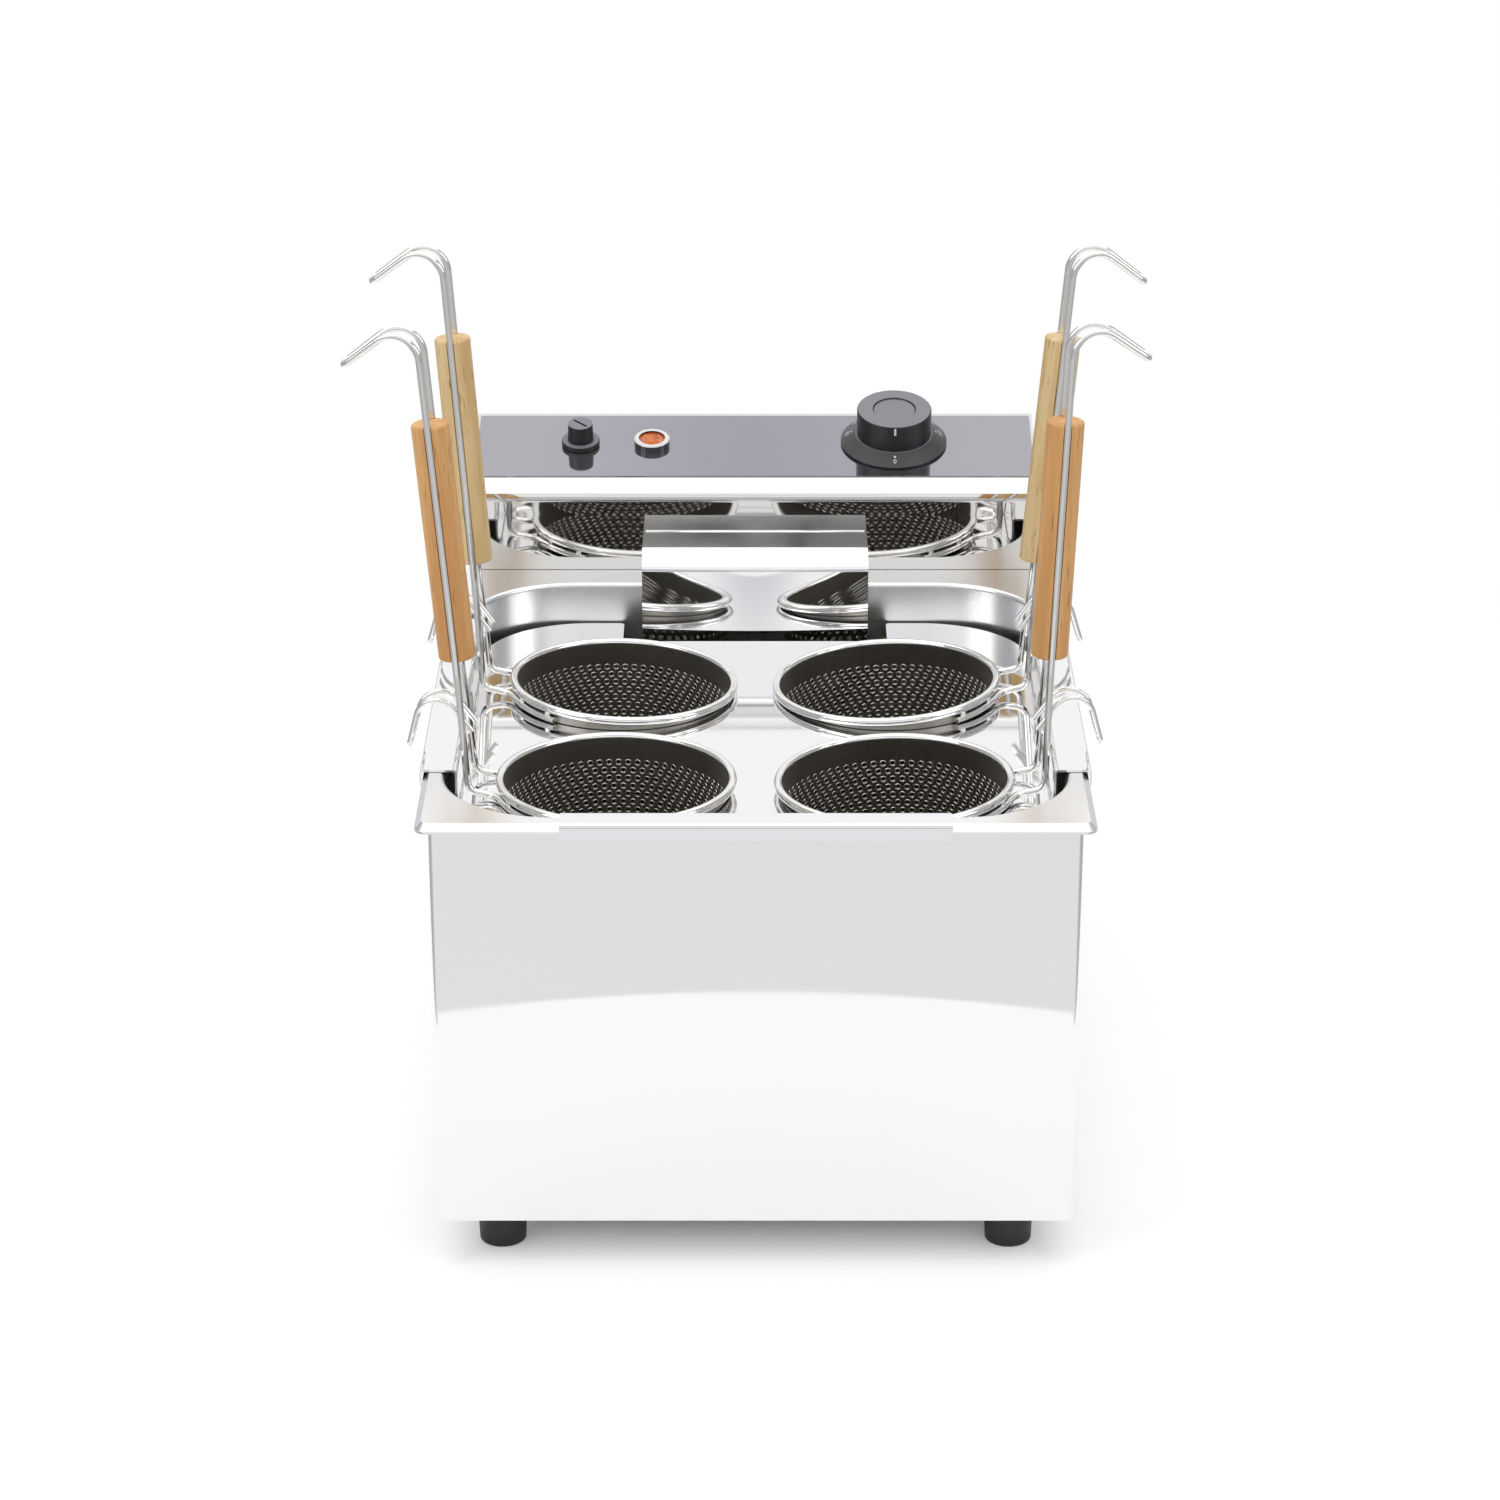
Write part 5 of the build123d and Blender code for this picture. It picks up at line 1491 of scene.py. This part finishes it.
    def bar(self, shape: bmesh.types.BMesh, width: float, length: float, where: Matrix) -> None:
        """Round-ended bar in a plane.

        Args:
            shape: The shape that takes it.
            width: Width of the bar.
            length: Length of the bar.
            where: Its place.
        """
        steps = self.round_steps
        corners = []
        for end in (1, -1):
            for k in range(steps + 1):
                angle = math.pi * k / steps + (0 if end > 0 else math.pi)
                corners.append(Vector((width / 2 * math.cos(angle),
                                       end * (length - width) / 2 + width / 2 * math.sin(angle), 0)))
        shape.faces.new([shape.verts.new(where @ corner) for corner in corners])

    def numeral(self, shape: bmesh.types.BMesh, text: str, where: Matrix) -> None:
        """Flat numeral in a plane.

        Args:
            shape: The shape that takes it.
            text: The numeral.
            where: Its place.
        """
        curve = bpy.data.curves.new("numeral", "FONT")
        curve.body = text
        curve.size = self.numeral_size
        curve.align_x = "CENTER"
        curve.align_y = "CENTER"
        holder = bpy.data.objects.new("numeral", curve)
        bpy.context.scene.collection.objects.link(holder)
        bpy.context.view_layer.update()
        mesh = bpy.data.meshes.new_from_object(holder.evaluated_get(bpy.context.evaluated_depsgraph_get()))
        mesh.transform(where @ Matrix.Translation((0, -self.numeral_drop, 0)))
        shape.from_mesh(mesh)
        bpy.data.meshes.remove(mesh)
        bpy.data.objects.remove(holder)
        bpy.data.curves.remove(curve)


@dataclass
class PaperFloor:
    """White paper that keeps the object's shadow.

    Attributes:
        size: Half size of the sheet.
        paper: Colour of the paper.
        glow: Strength of the paper's own white where it is seen or mirrored.
        near_glow: Colour of that white near the object.
        far_glow: Its colour beyond the table, in reflections.
        dim_glow: Its colour well aside or far behind, in reflections.
        table_radius: Radius of the white round table that polished metal mirrors.
        table_edge: Width over which the table's edge fades.
        table_middle: Place of the table's middle behind the origin.
        footprint: Half width and half depth of the casing's footprint.
        footprint_middle: Middle of the footprint.
        shade_reach: How far the painted shadow reaches inside and outside the footprint's edge.
        white_from: Distances between which the floor turns to plain white for the camera.
        dim_aside: Sideways share of the distance, and the dimming that it brings.
        dim_far: Distance, and the dimming that it brings.
    """

    size: float = 12.0
    paper: Color = (0.80, 0.80, 0.80)
    glow: float = 0.42
    near_glow: Color = (1.0, 1.0, 1.0)
    far_glow: Color = (0.37, 0.39, 0.41)
    dim_glow: Color = (0.36, 0.36, 0.37)
    table_radius: float = 620.0 * MM
    table_edge: float = 6.0 * MM
    table_middle: float = 40.0 * MM
    footprint: Span = (170.0 * MM, 195.0 * MM)
    footprint_middle: Span = (4.0 * MM, -37.0 * MM)
    shade_reach: Span = (-64.0 * MM, 9.0 * MM)
    white_from: Span = (0.45, 1.0)
    dim_aside: Ramp = (0.45, 0.75, 0.0, 0.75)
    dim_far: Ramp = (0.9, 1.4, 0.0, 0.4)

    def build(self) -> None:
        """Lay the floor."""
        shape = bmesh.new()
        bmesh.ops.create_grid(shape, x_segments=1, y_segments=1, size=self.size)
        floor = bpy.data.objects.new("studio_floor", bake("studio_floor", shape, self.material()))
        bpy.context.scene.collection.objects.link(floor)

    def material(self) -> bpy.types.Material:
        """Paper with its rendered shade, a painted shadow round the casing's footprint, and a plain white
        distance.

        Returns:
            The floor's material.
        """
        material = bpy.data.materials.new("floor_paper")
        material.use_nodes = True
        material.node_tree.nodes.clear()
        graph = Graph(material.node_tree)
        where = graph.place()
        split = graph.add("ShaderNodeSeparateXYZ", {"Vector": where})
        from_middle = graph.add("ShaderNodeVectorMath", operation="DISTANCE")
        graph.feed(where, from_middle.inputs[0])
        graph.feed((0.0, self.table_middle, 0.0), from_middle.inputs[1])
        distance = from_middle.outputs["Value"]
        path = graph.add("ShaderNodeLightPath").outputs
        far = graph.ramp(distance, self.table_radius, self.table_radius + self.table_edge, 0.0, 1.0)
        mirrored = graph.math("MULTIPLY", far, path["Is Glossy Ray"])
        seen = graph.math("MAXIMUM", path["Is Camera Ray"], path["Is Glossy Ray"])
        seen = graph.math("MAXIMUM", seen, path["Is Transmission Ray"])
        # The paper's glow fades out round the casing's footprint: a painted shadow under the object.
        shade_strength = graph.ramp(self.beyond_footprint(graph, split), *self.shade_reach, 0.0, self.glow)
        paper = graph.add("ShaderNodeBsdfDiffuse", {"Color": self.paper})
        glow = graph.add("ShaderNodeEmission", {
            "Color": graph.blend(mirrored, self.near_glow, self.far_glow),
            "Strength": graph.math("MULTIPLY", seen, shade_strength),
        })
        both = graph.add("ShaderNodeAddShader")
        graph.feed(paper.outputs[0], both.inputs[0])
        graph.feed(glow.outputs[0], both.inputs[1])
        white = graph.add("ShaderNodeEmission", {"Color": (1.0, 1.0, 1.0), "Strength": 1.0})
        open_floor = graph.ramp(distance, *self.white_from, 0.0, 1.0)
        plain = graph.mix_shaders(graph.math("MULTIPLY", open_floor, path["Is Camera Ray"]), both, white)
        dim = graph.add("ShaderNodeEmission", {"Color": self.dim_glow, "Strength": 1.0})
        sideways = graph.math("DIVIDE", graph.math("ABSOLUTE", split.outputs["X"]), distance)
        dimming = graph.math("MAXIMUM", graph.ramp(sideways, *self.dim_aside),
                             graph.ramp(distance, *self.dim_far))
        room = graph.mix_shaders(graph.math("MULTIPLY", dimming, mirrored), plain, dim)
        graph.add("ShaderNodeOutputMaterial", {"Surface": room.outputs[0]})
        return material

    def beyond_footprint(self, graph: Graph, split: bpy.types.Node) -> bpy.types.NodeSocket:
        """Distance from the edge of the casing's footprint, negative under the casing.

        Args:
            graph: The floor's graph.
            split: The parts of the position on the floor.

        Returns:
            The distance's socket.
        """
        sides = []
        for name, middle, half in zip("XY", self.footprint_middle, self.footprint):
            offset = graph.math("ABSOLUTE", graph.math("SUBTRACT", split.outputs[name], middle))
            sides.append(graph.math("SUBTRACT", offset, half))
        return graph.math("MAXIMUM", *sides)


@dataclass
class Surroundings:
    """White room round the object, greyer where polished steel mirrors its far parts.

    Attributes:
        white: Colour of the room where it is seen.
        front_grey: Colour of the room in front, high up and low down.
        side_grey: Colour of the room beside the object.
        overhead_grey: Colour right overhead.
        front: Direction along Y, and how far it counts as in front.
        high_up: Direction along Z, and how far it counts as high.
        low_down: Direction along Z, and how far it counts as low.
        beside: Direction along X, and how far it counts as beside.
        overhead: Direction along Z, and how far it counts as overhead.
        behind: Direction along Y, and the strength of the grey overhead there.
        fill_light: Strength of the plain light that falls on the object.
        bands: Lowest and highest direction along Z and half width of each dark band in front.
        band_edge: Fading at a band's edges, upwards and sideways.
        band_grey: Colour of the bands.
        blot_black: Colour of the blots in them.
        blot_scale: Scale of the blots along X, Y and Z.
        blot_from: Values of the pattern between which a blot comes in.
        blot_reach: Half widths between which the blots end.
    """

    white: Color = (1.0, 1.0, 1.0)
    front_grey: Color = (0.60, 0.62, 0.65)
    side_grey: Color = (0.42, 0.42, 0.43)
    overhead_grey: Color = (0.06, 0.06, 0.06)
    front: Ramp = (-0.75, -0.25, 1.0, 0.0)
    high_up: Ramp = (0.50, 0.68, 0.0, 1.0)
    low_down: Ramp = (0.17, 0.21, 1.0, 0.0)
    beside: Ramp = (0.40, 0.75, 0.0, 1.0)
    overhead: Ramp = (0.86, 0.93, 0.0, 1.0)
    behind: Ramp = (-0.15, 0.1, 0.4, 0.9)
    fill_light: float = 0.62
    bands: tuple[tuple[float, float, float], ...] = ((0.3185, 0.3300, 0.032), (0.3592, 0.3636, 0.009))
    band_edge: Span = (0.0006, 0.002)
    band_grey: Color = (0.20, 0.20, 0.205)
    blot_black: Color = (0.006, 0.006, 0.008)
    blot_scale: tuple[float, float, float] = (150.0, 0.0, 520.0)
    blot_from: Span = (0.50, 0.56)
    blot_reach: Span = (0.014, 0.019)

    def build(self) -> None:
        """Make the world, with a plain level for the light that falls on the object."""
        world = bpy.data.worlds.new("studio_world")
        world.use_nodes = True
        world.node_tree.nodes.clear()
        graph = Graph(world.node_tree)
        path = graph.add("ShaderNodeLightPath").outputs
        seen = graph.math("MAXIMUM", path["Is Camera Ray"], path["Is Transmission Ray"])
        direction = graph.add("ShaderNodeTexCoord").outputs["Generated"]
        split = graph.add("ShaderNodeSeparateXYZ", {"Vector": direction})
        along, up = split.outputs["Y"], split.outputs["Z"]
        side = graph.math("ABSOLUTE", split.outputs["X"])
        high_or_low = graph.math("MAXIMUM", graph.ramp(up, *self.high_up), graph.ramp(up, *self.low_down))
        away = graph.math("MULTIPLY", graph.ramp(along, *self.front), high_or_low)
        room = graph.blend(away, self.white, self.front_grey)
        room = graph.blend(graph.ramp(side, *self.beside), room, self.side_grey)
        overhead = graph.math("MULTIPLY", graph.ramp(up, *self.overhead), graph.ramp(along, *self.behind))
        room = graph.blend(overhead, room, self.overhead_grey)
        room = self.dark_bands(graph, direction, room)
        color = graph.blend(seen, room, self.white)
        shown = graph.math("MAXIMUM", seen, path["Is Glossy Ray"])
        strength = graph.ramp(shown, 0.0, 1.0, self.fill_light, 1.0)
        background = graph.add("ShaderNodeBackground", {"Color": color, "Strength": strength})
        graph.add("ShaderNodeOutputWorld", {"Surface": background.outputs[0]})
        bpy.context.scene.world = world

    def dark_bands(self, graph: Graph, direction: bpy.types.NodeSocket,
                   room: bpy.types.NodeSocket) -> bpy.types.NodeSocket:
        """Add two low dark bands of the room in front, which polished steel mirrors.

        Args:
            graph: The world's graph.
            direction: Direction of the ray.
            room: Colour of the room.

        Returns:
            The room's colour with the bands.
        """
        split = graph.add("ShaderNodeSeparateXYZ", {"Vector": direction})
        stretched = graph.add("ShaderNodeMapping", {"Vector": direction, "Scale": self.blot_scale})
        ragged = graph.add("ShaderNodeTexNoise", {"Vector": stretched.outputs[0], "Scale": 1.0,
                                                  "Detail": 3.0})
        blot = graph.ramp(ragged.outputs[0], *self.blot_from, 0.0, 1.0)
        side = graph.math("ABSOLUTE", split.outputs["X"])
        blot = graph.math("MULTIPLY", blot, graph.ramp(side, *self.blot_reach, 1.0, 0.0))
        dark = graph.blend(blot, self.band_grey, self.blot_black)
        front = graph.math("LESS_THAN", split.outputs["Y"], 0.0)
        edge, side_edge = self.band_edge
        for low, high, reach in self.bands:
            above = graph.ramp(split.outputs["Z"], low, low + edge, 0.0, 1.0)
            below = graph.ramp(split.outputs["Z"], high - edge, high, 1.0, 0.0)
            near = graph.math("MULTIPLY", front, graph.ramp(side, reach, reach + side_edge, 1.0, 0.0))
            room = graph.blend(graph.math("MULTIPLY", near, graph.math("MULTIPLY", above, below)), room, dark)
        return room


@dataclass(frozen=True)
class SoftBox:
    """Square soft lamp that aims at the object.

    Attributes:
        name: The lamp's name.
        place: Its place.
        size: Length of its side.
        power: Its power in watts.
    """

    name: str
    place: tuple[float, float, float]
    size: float
    power: float

    def build(self, target: Vector) -> None:
        """Hang the lamp.

        Args:
            target: The point that it aims at.
        """
        data = bpy.data.lights.new(self.name, "AREA")
        data.shape = "SQUARE"
        data.size = self.size
        data.energy = self.power
        lamp = bpy.data.objects.new(self.name, data)
        lamp.location = self.place
        lamp.rotation_euler = (target - Vector(self.place)).to_track_quat("-Z", "Y").to_euler()
        bpy.context.scene.collection.objects.link(lamp)


@dataclass
class Studio:
    """Plain bright studio: camera, floor, surroundings and lamps.

    Attributes:
        focal: Focal length in millimetres.
        sensor: Width of the sensor in millimetres.
        view_reach: Distance up to which the camera sees.
        camera_place: Place of the camera.
        camera_pitch: Angle of the view below the horizon in degrees.
        target: The point that the lamps aim at.
        soft_boxes: The lamps: overhead, on the left and on the right.
    """

    focal: float = 107.84
    sensor: float = 36.0
    view_reach: float = 50.0
    camera_place: tuple[float, float, float] = (-3.0 * MM, -2376.4 * MM, 1150.4 * MM)
    camera_pitch: float = 21.672
    target: tuple[float, float, float] = (0.0, 0.0, 0.2)
    soft_boxes: tuple[SoftBox, ...] = (
        SoftBox("overhead_softbox", (0.0, 0.2, 2.6), 3.2, 31.0),
        SoftBox("left_softbox", (-2.4, -1.6, 2.2), 1.8, 20.0),
        SoftBox("right_softbox", (2.6, -1.2, 1.8), 1.6, 13.0),
    )

    def build(self) -> None:
        """Build the whole studio."""
        self.camera()
        PaperFloor().build()
        Surroundings().build()
        for soft_box in self.soft_boxes:
            soft_box.build(Vector(self.target))
        bpy.context.scene.view_settings.view_transform = "Standard"
        LOG.info("studio done")

    def camera(self) -> None:
        """Camera at the photograph's angle."""
        data = bpy.data.cameras.new("camera")
        data.lens = self.focal
        data.sensor_width = self.sensor
        data.clip_end = self.view_reach
        camera = bpy.data.objects.new("camera", data)
        camera.location = self.camera_place
        camera.rotation_euler = (math.radians(90 - self.camera_pitch), 0, 0)
        bpy.context.scene.collection.objects.link(camera)
        bpy.context.scene.camera = camera


def main() -> None:
    """Build the pasta cooker's looks and its studio."""
    logging.basicConfig(level=logging.INFO, format="%(message)s")
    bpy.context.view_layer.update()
    place = CookerFrame()
    shop = GroupShop()
    Studio().build()
    Bodywork(place, shop).build()
    ControlHead(place, shop).build()
    BasketSet(place, shop).build()
    bpy.context.view_layer.update()


if __name__ == "__main__":
    main()
